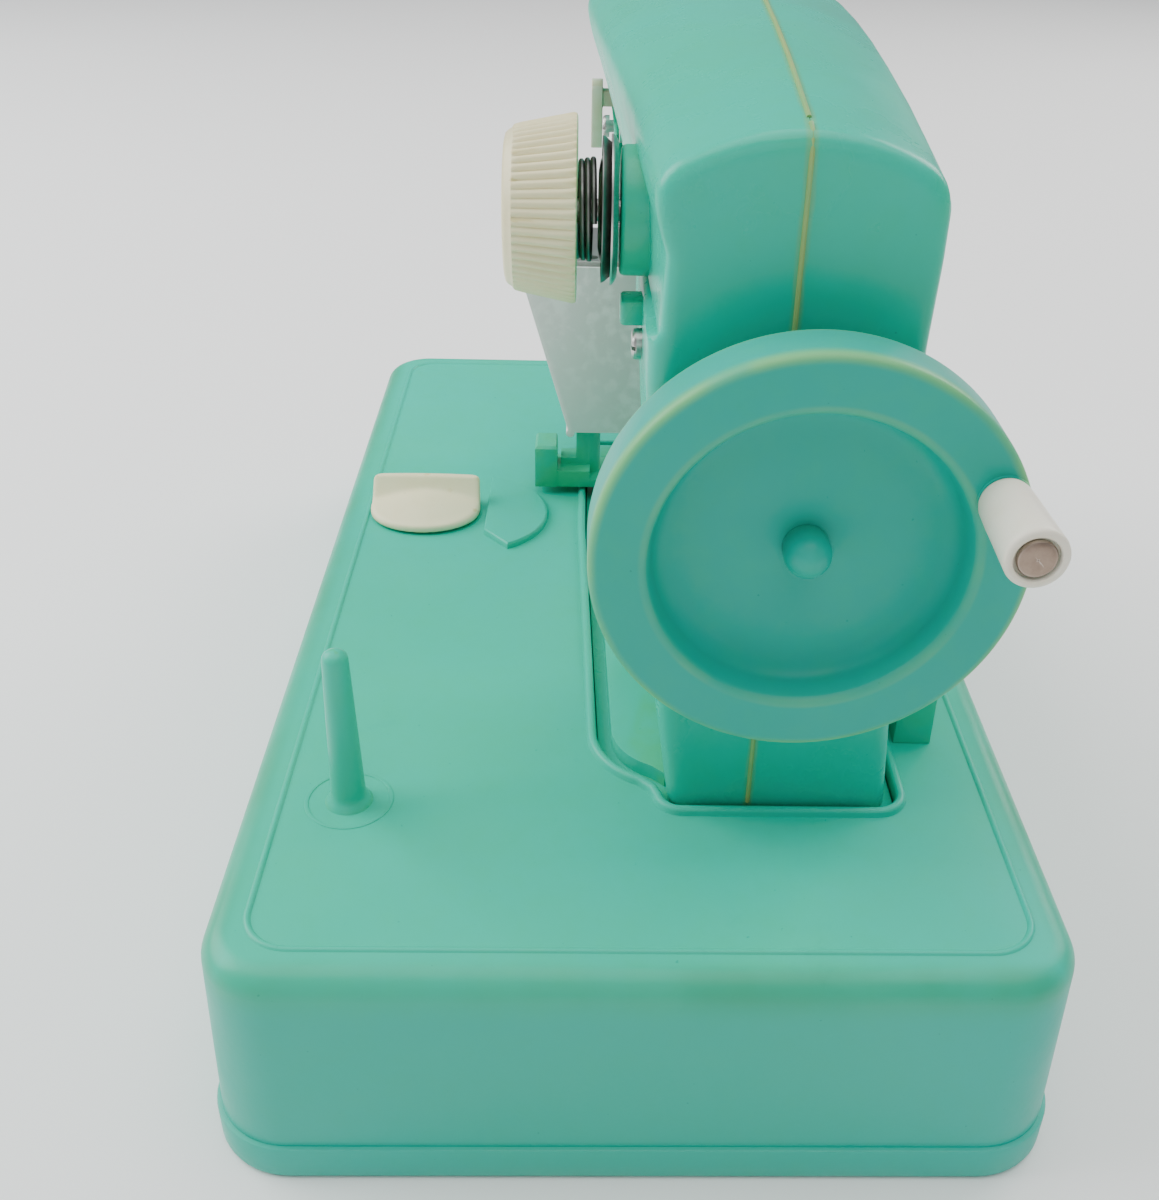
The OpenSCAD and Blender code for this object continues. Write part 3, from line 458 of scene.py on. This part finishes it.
OPENING = (arc((-55, -5.5), 3.4, 180, 270, 8) + [(-14, -8.9)] + arc((61, 7), 13.6, 272, 334, 18)
           + [(75.4, 3.4)] + arc((77.5, 7.4), 3.1, 275, 350, 10)
           + arc((76.8, 39.6), 3.8, 0, 90, 10) + arc((-55, 40), 3.4, 90, 180, 8))
WALL_SIZE = (238.4, 131.4)
DRAFT, ROLL_R, CORNER, WALL = 0.9, 4.0, 13.0, 2.2
SKIRT_H = 6.9


def level_loop(height, inset):
    """Rounded rectangle of the base wall, inset from its foot, at a height."""
    outline = rounded_rect(WALL_SIZE[0] - 2 * inset, WALL_SIZE[1] - 2 * inset, max(CORNER - 0.8 - inset, 3), 14)
    return [(x, y, height) for x, y in outline]


def panel(outer_loop, inner_loop):
    """Flat surface between two loops at one height."""
    bm = bmesh.new()
    edges = []
    for loop in (outer_loop, inner_loop):
        ring = [bm.verts.new(p) for p in loop]
        edges += [bm.edges.new((ring[i - 1], ring[i])) for i in range(len(ring))]
    bmesh.ops.triangle_fill(bm, edges=edges, use_beauty=True)
    bm.verts.index_update()
    points = [tuple(v.co) for v in bm.verts]
    faces = [[v.index for v in f.verts] for f in bm.faces]
    bm.free()
    return points, faces


def at_height(outline, height):
    return [(x, y, height) for x, y in outline]


outer = [level_loop(SKIRT_H, 0), level_loop(20, DRAFT * 0.42)]
outer += [level_loop(BASE_TOP - ROLL_R + ROLL_R * math.sin(a), DRAFT + ROLL_R * (1 - math.cos(a)))
          for a in (math.radians(9 * k) for k in range(11))]
inner = [level_loop(SKIRT_H, WALL), level_loop(BASE_TOP - WALL - 3, DRAFT + WALL),
         level_loop(BASE_TOP - WALL, DRAFT + ROLL_R + 2)]
shell = [rings(outer, cap=False), rings(inner, cap=False), rings([inner[0], outer[0]], cap=False),
         panel(outer[-1], at_height(OPENING, BASE_TOP)),
         panel(inner[-1], at_height(OPENING, BASE_TOP - WALL)),
         rings([at_height(OPENING, BASE_TOP), at_height(OPENING, BASE_TOP - WALL)], cap=False)]
BEAD_W, BEAD_H = 1.6, 1.2
bead = [(-0.02, -0.4)] + [(0.8 - 0.8 * math.cos(a), 0.45 + 0.75 * math.sin(a))
                          for a in (math.radians(20 * k) for k in range(10))] + [(BEAD_W + 0.35, -0.4)]
shell.append(sweep(OPENING, [(s, BASE_TOP + h) for s, h in bead]))
ridge_path = rounded_rect(WALL_SIZE[0] - 2 * DRAFT - 12.9, WALL_SIZE[1] - 2 * DRAFT - 12.9, 7.2, 12)
ridge = [(-0.65, -0.1), (-0.4, 0.22), (-0.15, 0.36), (0.15, 0.36), (0.4, 0.22), (0.65, -0.1)]
shell.append(sweep(ridge_path, [(s, BASE_TOP + h) for s, h in ridge]))
SPOOL = (79.1, -47.3)
shell.append(lathe([(6.5, -0.1), (6.6, 0.12), (6.9, 0.2), (7.2, 0.12), (7.3, -0.1)], (*SPOOL, BASE_TOP), "z"))
PAD_MIDDLE, PAD_R = (-20, -35.3), 17.8
pad_edge = [(-11.3, -31.4)] + arc(PAD_MIDDLE, PAD_R, 32, 167, 28)


def shrunk(outline, inset):
    """A convex outline pulled in towards its middle by about inset."""
    middle = Vector((sum(p[0] for p in outline), sum(p[1] for p in outline))) / len(outline)
    moved = []
    for p in outline:
        off = Vector(p) - middle
        moved.append(tuple(middle + off * (1 - inset / off.length)))
    return moved


shell.append(rings([at_height(shrunk(pad_edge, i), BASE_TOP + h)
                    for i, h in ((0, -0.3), (0, 0.8), (0.15, 1.15), (0.5, 1.38), (0.9, 1.4))]))
for sx in (-1, 1):
    for sy in (-1, 1):
        shell.append(lathe([(1.3, 7), (4, 7), (4, 39.5), (1.3, 39.5)], (sx * 103, sy * 50, 0), "z", 24))
piece("base_moulding", shell, "base", "frame", ["base_shell"])

# The skirt is a band with a small step on top and a soft foot.
pan_low, pan_high = span("bottom_pan")
PAN = (pan_high[0] - pan_low[0], pan_high[1] - pan_low[1])


def pan_loop(height, inset):
    return at_height(rounded_rect(PAN[0] - 2 * inset, PAN[1] - 2 * inset, max(CORNER - inset, 3), 14), height)


pan = [pan_loop(h, i) for h, i in ((0, 1.2), (0.15, 0.7), (0.5, 0.25), (1.1, 0.03), (3, 0), (SKIRT_H - 0.5, 0),
                                   (SKIRT_H - 0.15, 0.12), (SKIRT_H, 0.45), (SKIRT_H, 2.6), (2.4, 3.2))]
screws = [(sx * 103, sy * 50) for sx in (-1, 1) for sy in (-1, 1)]
feet = [lathe([(3.2, 0.02), (4.4, 0.02), (4.5, 0.4), (4.5, 6), (1.6, 6), (1.6, 2.2), (3.2, 2.2)],
              (x, y, 0), "z", 32) for x, y in screws]
piece("base_skirt", [rings(pan)] + feet, "base", "frame", ["bottom_pan"])

PIN_H = 29.6
piece("spool_pin_moulding", [lathe(
    [(0, -5), (2, -5), (2, -0.05), (3.9, 0), (3.6, 0.5), (3.25, 0.95), (2.95, 1.4), (2.82, 2.2), (2.72, 6),
     (2.08, PIN_H - 1.7)] + [(2.05 * math.cos(a), PIN_H - 1.6 + 1.6 * math.sin(a))
                             for a in (math.radians(15 * k) for k in range(1, 7))],
    (*SPOOL, BASE_TOP), "z", 48, closed=False)], "teal", "frame", ["spool_pin"])
refine("machine_bed", "teal", "frame", 0.9, 4)
refine("rear_clamp_block", "teal", "frame", 0.9, 4)


# ---------------------------------------------------------------- arm, column and head

END_X, COLUMN_X, ARM_UNDER, HEAD_UNDER = 79.7, 33.0, 112.0, 96.0
# Along the arm: x, front shoulder y, rear shoulder y, top height
STATIONS = np.array([(84, -1.0, 37.0, 148.4), (77, -1.4, 37.1, 149.4), (64, -2.6, 37.2, 151.3),
                     (51, -3.6, 37.3, 153.1), (35, -5.2, 37.4, 154.8), (19.5, -6.8, 37.5, 156.1),
                     (5, -8.2, 37.6, 156.8), (-10, -9.2, 37.7, 157.0), (-25, -9.9, 37.7, 156.6),
                     (-40, -10.1, 37.6, 155.2), (-52, -9.8, 37.2, 152.6), (-60, -9.2, 36.4, 149.4),
                     (-66, -7.8, 34.6, 144.6), (-72, -5.0, 31, 136)])[::-1]
CROWN = 6.2
# Counterbores of the body screws: x, z and the y of the seat
SCREW_SEATS = [(62, 114.6, -1.3), (42, 58, 2.7), (-55, 120, -4.8), (24, 116.2, 0.1)]
SCREW_BORE_R = 2.5


def smooth_max(a, b, r):
    """Larger of two fields, with the edge between them rounded to about radius r."""
    h = np.maximum(r - np.abs(a - b), 0)
    return np.maximum(a, b) + h * h / (4 * r)


def smooth_min(a, b, r):
    return -smooth_max(-a, -b, r)


def block(x, y, z, low, high, r):
    """Distance-like field of a box with rounded edges."""
    q = [np.abs(c - (a + b) / 2) - (b - a) / 2 + r for c, a, b in zip((x, y, z), low, high)]
    out = np.sqrt(sum(np.maximum(c, 0) ** 2 for c in q))
    return out + np.minimum(np.maximum(np.maximum(q[0], q[1]), q[2]), 0) - r


def body_field(x, y, z, inset=0.0):
    """Below 0 inside the machine's outer form, shrunk by inset."""
    front, rear, top = (np.interp(x, STATIONS[:, 0], STATIONS[:, k]) for k in (1, 2, 3))
    low_front = 1.4 - 0.02 * np.maximum(x, 0)
    share = np.clip((z - ARM_UNDER) / (top - 16 - ARM_UNDER), 0, 1)
    upper = np.clip((z - (top - 16)) / 10, 0, 1)
    side_front = low_front + (front + 2 - low_front) * share - 2 * upper * (2 - upper) + inset
    side_rear = rear - 0.8 * (1 - share) - inset
    across = (y - (front + rear) / 2) / ((rear - front) / 2)
    roof = z - (top - CROWN * across ** 2) + inset
    slope = np.sqrt(1 + (2 * CROWN * across / ((rear - front) / 2)) ** 2)
    arm = smooth_max(side_front - y, y - side_rear, 1)
    arm = smooth_max(arm, roof / slope, 3.6)
    arm = smooth_max(arm, x - END_X + inset, 2)
    arm = smooth_max(arm, ARM_UNDER + inset - z, 3)
    nose = (-x - 69 + inset) + 0.012 * np.maximum(118 - z, 0) ** 1.0
    arm = smooth_max(arm, nose, 7)
    knee = [40, 60, 115, 160]
    column_front = np.interp(z, knee, [5.2, 2.4, -1.3, -1.5]) + inset
    column_rear = np.interp(z, knee, [41.6, 40.2, 37.1, 37.0]) - inset
    wide = smooth_max(column_front - y, y - column_rear, 1)
    long = smooth_max(COLUMN_X + inset - x, x - END_X + inset, 1)
    column = smooth_max(wide, long, 4)
    column = np.maximum(column, z - 122 + inset)
    foot = 40.0 if inset == 0 else 36.0
    column = smooth_max(column, foot - z, 0.6)
    head = block(x, y, z, (-68.3 + inset, -4.2 + inset, HEAD_UNDER + inset), (-28 - inset, 35 - inset, 140), 4.5)
    head = smooth_max(head, np.interp(z, [HEAD_UNDER, 122], [-2.6, -4.6]) + inset - y, 2)
    corner = 3 * np.clip((46 - x) / 10, 0, 1) * np.clip((124 - z) / 10, 0, 1) + 0.01
    return smooth_min(smooth_min(arm, column, corner), head, 3)


def shell_field(x, y, z):
    solid = body_field(x, y, z)
    solid = np.maximum(solid, -body_field(x, y, z, WALL))
    slot = block(x, y, z, (-33.2, -20, 114.6), (-24.4, 5, 136.5), 1.5)
    needle_hole = np.where(z < 108, 4.0 - np.hypot(x + 38, y - 3), -9)
    cuts = np.maximum(-slot, needle_hole)
    for at_x, at_z, seat in SCREW_SEATS:
        cuts = np.maximum(cuts, np.minimum(SCREW_BORE_R - np.hypot(x - at_x, z - at_z), seat - y))
    return np.maximum(solid, cuts)


def surface_net(field, low, high, step):
    """Closed quad mesh where a field is 0, by surface nets, then drawn onto the field itself."""
    axes = [np.arange(a, b + step, step) for a, b in zip(low, high)]
    value = field(*np.meshgrid(*axes, indexing="ij"))
    inside = value < 0
    cells = tuple(n - 1 for n in value.shape)
    count = sum(inside[i:cells[0] + i, j:cells[1] + j, k:cells[2] + k].astype(np.int8)
                for i in (0, 1) for j in (0, 1) for k in (0, 1))
    active = (count > 0) & (count < 8)
    index = np.full(active.shape, -1)
    index[active] = np.arange(active.sum())
    corner = np.argwhere(active)
    total, weight = np.zeros((len(corner), 3)), np.zeros(len(corner))
    for axis in range(3):
        u, v = [i for i in range(3) if i != axis]
        for a in (0, 1):
            for b in (0, 1):
                start = np.zeros(3, int)
                start[u], start[v] = a, b
                end = start.copy()
                end[axis] = 1
                first = value[tuple((corner + start).T)]
                last = value[tuple((corner + end).T)]
                cut = (first < 0) != (last < 0)
                share = np.where(cut, first / np.where(cut, first - last, 1), 0)
                total[cut] += (start + share[:, None] * (end - start))[cut]
                weight += cut
    points = (corner + total / weight[:, None]) * step + np.array(low)
    faces = []
    for axis in range(3):
        u, v = [i for i in range(3) if i != axis]
        near = [slice(None)] * 3
        far = [slice(None)] * 3
        near[axis], far[axis] = slice(0, -1), slice(1, None)
        spot = np.argwhere(inside[tuple(near)] != inside[tuple(far)])
        spot = spot[(spot[:, u] > 0) & (spot[:, v] > 0) & (spot[:, u] < cells[u]) & (spot[:, v] < cells[v])]
        quad = []
        for a, b in ((0, 0), (1, 0), (1, 1), (0, 1)):
            cell = spot.copy()
            cell[:, u] -= a
            cell[:, v] -= b
            quad.append(index[tuple(cell.T)])
        faces.append(np.stack(quad, 1))
    tiny = 0.05
    for _ in range(4):
        here = field(*points.T)
        slope = np.stack([(field(*(points + tiny * np.eye(3)[k]).T) - field(*(points - tiny * np.eye(3)[k]).T))
                          / (2 * tiny) for k in range(3)], 1)
        move = -(here / np.maximum((slope ** 2).sum(1), 0.25))[:, None] * slope
        points += np.clip(move, -0.4 * step, 0.4 * step) * 0.8
    return points, np.concatenate(faces)


def split_shell(front):
    """One half of the shell, cut on the seam plane and closed across its wall."""
    bm = bmesh.new()
    verts = [bm.verts.new(p) for p in SHELL[0]]
    for f in SHELL[1]:
        bm.faces.new([verts[i] for i in f])
    bmesh.ops.recalc_face_normals(bm, faces=bm.faces)
    plane_y = SEAM_Y - 0.04 if front else SEAM_Y + 0.04
    cut = bmesh.ops.bisect_plane(bm, geom=bm.verts[:] + bm.edges[:] + bm.faces[:], dist=1e-4,
                                 plane_co=(0, plane_y, 0), plane_no=(0, 1, 0),
                                 clear_outer=front, clear_inner=not front)
    rim = [g for g in cut["geom_cut"] if isinstance(g, bmesh.types.BMEdge)]
    bmesh.ops.triangle_fill(bm, edges=rim, use_beauty=True)
    bm.verts.index_update()
    points = [tuple(v.co) for v in bm.verts]
    faces = [[v.index for v in f.verts] for f in bm.faces]
    outline = [tuple(tuple(v.co) for v in e.verts) for e in rim]
    bm.free()
    return (points, faces), outline


def longest_loop(pairs):
    """Joins edge pairs into loops and gives the one that reaches furthest."""
    links = {}
    for a, b in pairs:
        a, b = (tuple(round(c, 4) for c in p) for p in (a, b))
        links.setdefault(a, []).append(b)
        links.setdefault(b, []).append(a)
    loops = []
    while links:
        start = next(iter(links))
        loop, here = [start], links.pop(start)[0]
        while here in links:
            loop.append(here)
            ways = [w for w in links.pop(here) if w in links]
            if not ways:
                break
            here = ways[0]
        loops.append(loop)
    return max(loops, key=lambda l: max(p[0] for p in l) - min(p[0] for p in l) + max(p[2] for p in l))


STEP = 1.0
SHELL = surface_net(shell_field, (-73, -14, 38), (84, 44, 160), STEP)
front_half, seam_edges = split_shell(True)
rear_half, _ = split_shell(False)
TENSION = (52.0, 131.3)
boss = lathe([(0, -3), (9.3, -3), (9.3, 4.0), (9.1, 4.5), (8.7, 4.7), (0, 4.7)], (TENSION[0], 0, TENSION[1]), "-y")
guide = bar((56.4, -4.6, 117.2), (62, 0.4, 120.8), 0.9)
piece("arm_front_half", [front_half, boss, guide], "body", "frame", ["front_body_shell"], 50)
piece("arm_rear_half", [rear_half], "body", "frame", ["rear_body_shell"], 50)
seam_path = longest_loop(seam_edges)
smooth_path = []
for i, p in enumerate(seam_path):
    around = [seam_path[(i + k) % len(seam_path)] for k in (-2, -1, 0, 1, 2)]
    smooth_path.append(tuple(sum(c) / 5 for c in zip(*around)))
glue_path = [(x, SEAM_Y, z) for x, _, z in smooth_path[::2] if z > 41]
piece("seam_glue", [tube(glue_path, 0.36, 8)], "glue", "frame")


# ---------------------------------------------------------------- handwheel

WEB = 6.2                       # depth of the web behind the rim's front face
wheel_profile = ([(2.5, -WEB), (16, -WEB - 0.15)]
                 + [(RIM_IN - 4.2 + 3.2 * math.sin(a), -WEB + 3.2 * (1 - math.cos(a)))
                    for a in (math.radians(12 * k) for k in range(7))]
                 + [(RIM_IN - 0.7, -1.1), (RIM_IN - 0.35, -0.4), (RIM_IN + 0.1, -0.08), (RIM_IN + 0.6, 0)]
                 + [(25, 0.0), (RIM_R - 1.4, 0)]
                 + [(RIM_R - 1.2 + 1.2 * math.sin(a), -1.2 + 1.2 * math.cos(a))
                    for a in (math.radians(15 * k) for k in range(7))]
                 + [(RIM_R, -4), (RIM_R, -8.5)]
                 + [(RIM_R - 1.2 + 1.2 * math.cos(a), -8.5 - 1.2 * math.sin(a))
                    for a in (math.radians(18 * k) for k in range(1, 6))]
                 + [(RIM_IN + 1, -9.7), (RIM_IN - 0.2, -9.4), (RIM_IN - 0.5, -WEB - 2.6), (6, -WEB - 2.6),
                    (6, -13.0), (5.6, -13.4), (2.5, -13.4)])
HANDLE_R, HANDLE_A, HANDLE_LEN = 26.1, math.radians(23.8), 15.6
HANDLE = (WHEEL[0], WHEEL[1] + HANDLE_R * math.cos(HANDLE_A), WHEEL[2] + HANDLE_R * math.sin(HANDLE_A))
handle_boss = lathe([(1.5, -9), (3.6, -9), (3.7, -0.6), (3.5, 0.12), (3.2, 0.25), (1.5, 0.25)], HANDLE, "x", 40)
piece("handwheel_moulding", [lathe(wheel_profile, WHEEL, "x", 160), handle_boss], "wheel", "drive", ["handwheel"])
cap = [(0, -WEB), (3.1, -WEB), (3.25, -WEB + 0.3), (3.3, -WEB + 2.4)]
cap += [(3.3 * math.cos(a), -WEB + 2.6 + 3.3 * math.sin(a)) for a in (math.radians(10 * k) for k in range(10))]
piece("hub_dome", [lathe(cap, WHEEL, "x", 48, closed=False)], "wheel", "drive", ["hub_cap"])
pin = [(0.06, -9.7), (1.5, -9.7), (1.5, HANDLE_LEN - 0.9), (2.5, HANDLE_LEN - 0.8), (2.55, HANDLE_LEN - 0.4),
       (2.4, HANDLE_LEN - 0.16), (2.1, HANDLE_LEN - 0.06), (1.5, HANDLE_LEN), (0.8, HANDLE_LEN + 0.01),
       (0.3, HANDLE_LEN + 0.01), (0.06, HANDLE_LEN + 0.01)]
piece("handle_rivet", [lathe(pin, HANDLE, "x", 48, closed=True)], "rivet", "drive", ["handle_pin"])
grip = [(1.55, 0.5), (2.9, 0.4), (3.3, 0.45), (3.5, 0.7), (3.62, 1.2), (3.8, 5), (3.95, 10), (4.1, 14)]
grip += [(3.45 + 0.68 * math.cos(a), HANDLE_LEN - 0.7 + 0.7 * math.sin(a)) for a in
         (math.radians(15 * k) for k in range(7))]
grip += [(3.05, HANDLE_LEN - 0.05), (2.92, HANDLE_LEN - 0.25), (2.9, HANDLE_LEN - 1.1), (1.55, HANDLE_LEN - 1.1)]
piece("crank_grip", [lathe(grip, HANDLE, "x", 64)], "ivory", "handle", ["crank_handle"])


# ---------------------------------------------------------------- tension assembly

RIBS = 58


def ribbed(radius, height, depth, steps=RIBS * 8):
    """A circle round the tension axis whose radius rises and falls once a rib."""
    loop = []
    for i in range(steps):
        a = 2 * math.pi * i / steps
        wave = 0.5 + 0.5 * math.cos(RIBS * a)
        r = radius - depth * (1 - wave ** 0.55)
        loop.append((TENSION[0] + r * math.cos(a), height, TENSION[1] + r * math.sin(a)))
    return loop


knob = [ribbed(1.65, -11.9, 0), ribbed(3.4, -11.9, 0), ribbed(3.4, -13.3, 0), ribbed(11.2, -13.3, 0),
        ribbed(11.9, -11.1, 0), ribbed(12.9, -11.0, 0), ribbed(13.35, -11.15, 0.1), ribbed(13.48, -11.6, 0.42),
        ribbed(13.2, -13, 0.5), ribbed(12.6, -16, 0.5), ribbed(12.0, -19, 0.5), ribbed(11.75, -19.9, 0.35),
        ribbed(11.66, -20.15, 0.08), ribbed(11.5, -20.3, 0), ribbed(11.15, -20.55, 0), ribbed(10.9, -21.0, 0),
        ribbed(10.5, -21.4, 0), ribbed(9.8, -21.58, 0), ribbed(6, -21.6, 0), ribbed(2.4, -21.6, 0),
        ribbed(2.2, -21.2, 0), ribbed(1.65, -21.2, 0)]
piece("tension_knob_moulding", [rings(knob, closed=True)], "cream", "knob", ["tension_knob"], 50)


def disc(profile, name, look, node, offset=0.0):
    piece(name, [lathe([(r, h + offset) for r, h in profile], (TENSION[0], 0, TENSION[1]), "-y", 96)],
          look, "frame", [node])


disc([(1.7, 5.3), (8.6, 5.3), (9.6, 5.5), (10.3, 6.05), (10.62, 6.15), (10.7, 5.9), (10.4, 5.55), (9.7, 5.12),
      (1.7, 5.1)], "tension_disc_rear", "steel", "tension_disc_inner")
disc([(1.7, 7.3), (5.2, 7.3), (6.8, 7.1), (8.2, 6.5), (8.9, 6.0), (9.4, 5.95), (10.2, 6.9), (10.4, 7.3),
      (10.38, 7.45), (10.1, 7.2), (9.3, 6.35), (9.0, 6.4), (8.4, 6.95), (7.0, 7.7), (5.4, 7.95), (1.7, 7.95)],
     "tension_disc_front", "dark", "tension_disc_outer")
coil = [(TENSION[0] + r * math.cos(a), -8.5 - 2.6 * t, TENSION[1] + r * math.sin(a))
        for t, r, a in ((i / 110, 7.15 - 0.5 * i / 110, 2 * math.pi * 3 * i / 110) for i in range(111))]
piece("tension_spring_wire", [tube(coil, 0.42, 10)], "dark", "frame", ["tension_spring"])


# ---------------------------------------------------------------- head and small parts

refine("head_cover", "grey", "frame", 0.22, 2)
refine("take_up_lever", "ivory", "beam", 0.5, 3)
refine("presser_foot", "teal", "presser", 0.45, 3)


LEVER = (-21.5, -45.2, 42.0)     # middle of the lever's underside
LEVER_HALF = 12.3                # half its length along Y
LEVER_NOSE, LEVER_BACK = 11, 6   # its reach in front of and behind the middle


def lever_field(x, y, z):
    """Thumb lever: a straight fin along the back, which sweeps down into a low dome in front."""
    u, v, h = x - LEVER[0], y - LEVER[1], z - LEVER[2]
    side = LEVER_HALF + 0.06 * u
    outline = (np.sqrt((np.maximum(u, 0) / LEVER_NOSE) ** 2 + (v / side) ** 2) - 1) * 10.5
    outline = smooth_max(outline, -LEVER_BACK - u, 1.5)
    along = np.clip(np.abs(v) / LEVER_HALF, 0, 1)
    dome = 1.9 + 2.1 * (1 - along ** 1.6) - 0.022 * np.maximum(u + 1, 0) ** 2
    fin = 1.6 + 5.0 * np.clip((0.6 - u) / 4.6, 0, 1) ** 1.4 - 0.3 * along ** 2
    top = smooth_max(dome, fin, 0.7)
    return smooth_max(smooth_max(outline, h - top, 1.0), -h, 0.25)


net = surface_net(lever_field, (-29.5, -60, 41), (-8.5, -31, 50.5), 0.4)
pivot = lathe([(0, -5), (1.5, -5), (1.5, 0.3), (0, 0.3)], (-22, -50, 42), "z", 32, closed=False)
piece("stitch_lever_moulding", [net, pivot], "cream", "lever", ["stitch_lever"], 60)

CAD_LOOKS = {
    "steel": ["base_screws", "clamp_screw", "throat_plate", "throat_screws", "body_screws", "cover_screws",
              "head_bracket", "bracket_screws", "gear_frame", "frame_screws", "beam_pivot_pin",
              "looper_pivot_pin", "feed_guide", "tension_stud", "tension_nut", "main_shaft", "crank_shaft",
              "crank_disc", "rocker_beam", "connecting_rod", "needle_bar", "needle_clamp", "needle",
              "presser_collar", "feed_dog", "looper_lever", "looper_hook"],
    "dark": ["presser_bar", "presser_spring"],
    "gear": ["main_gear", "crank_pinion", "looper_cam", "needle_bar_driver"],
    "ivory": ["main_bush"],
    "brass": ["needle_bar_bush"],
}
for look, nodes in CAD_LOOKS.items():
    for node in nodes:
        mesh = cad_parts[node].data
        mesh.materials.clear()
        mesh.materials.append(MATERIAL[look])
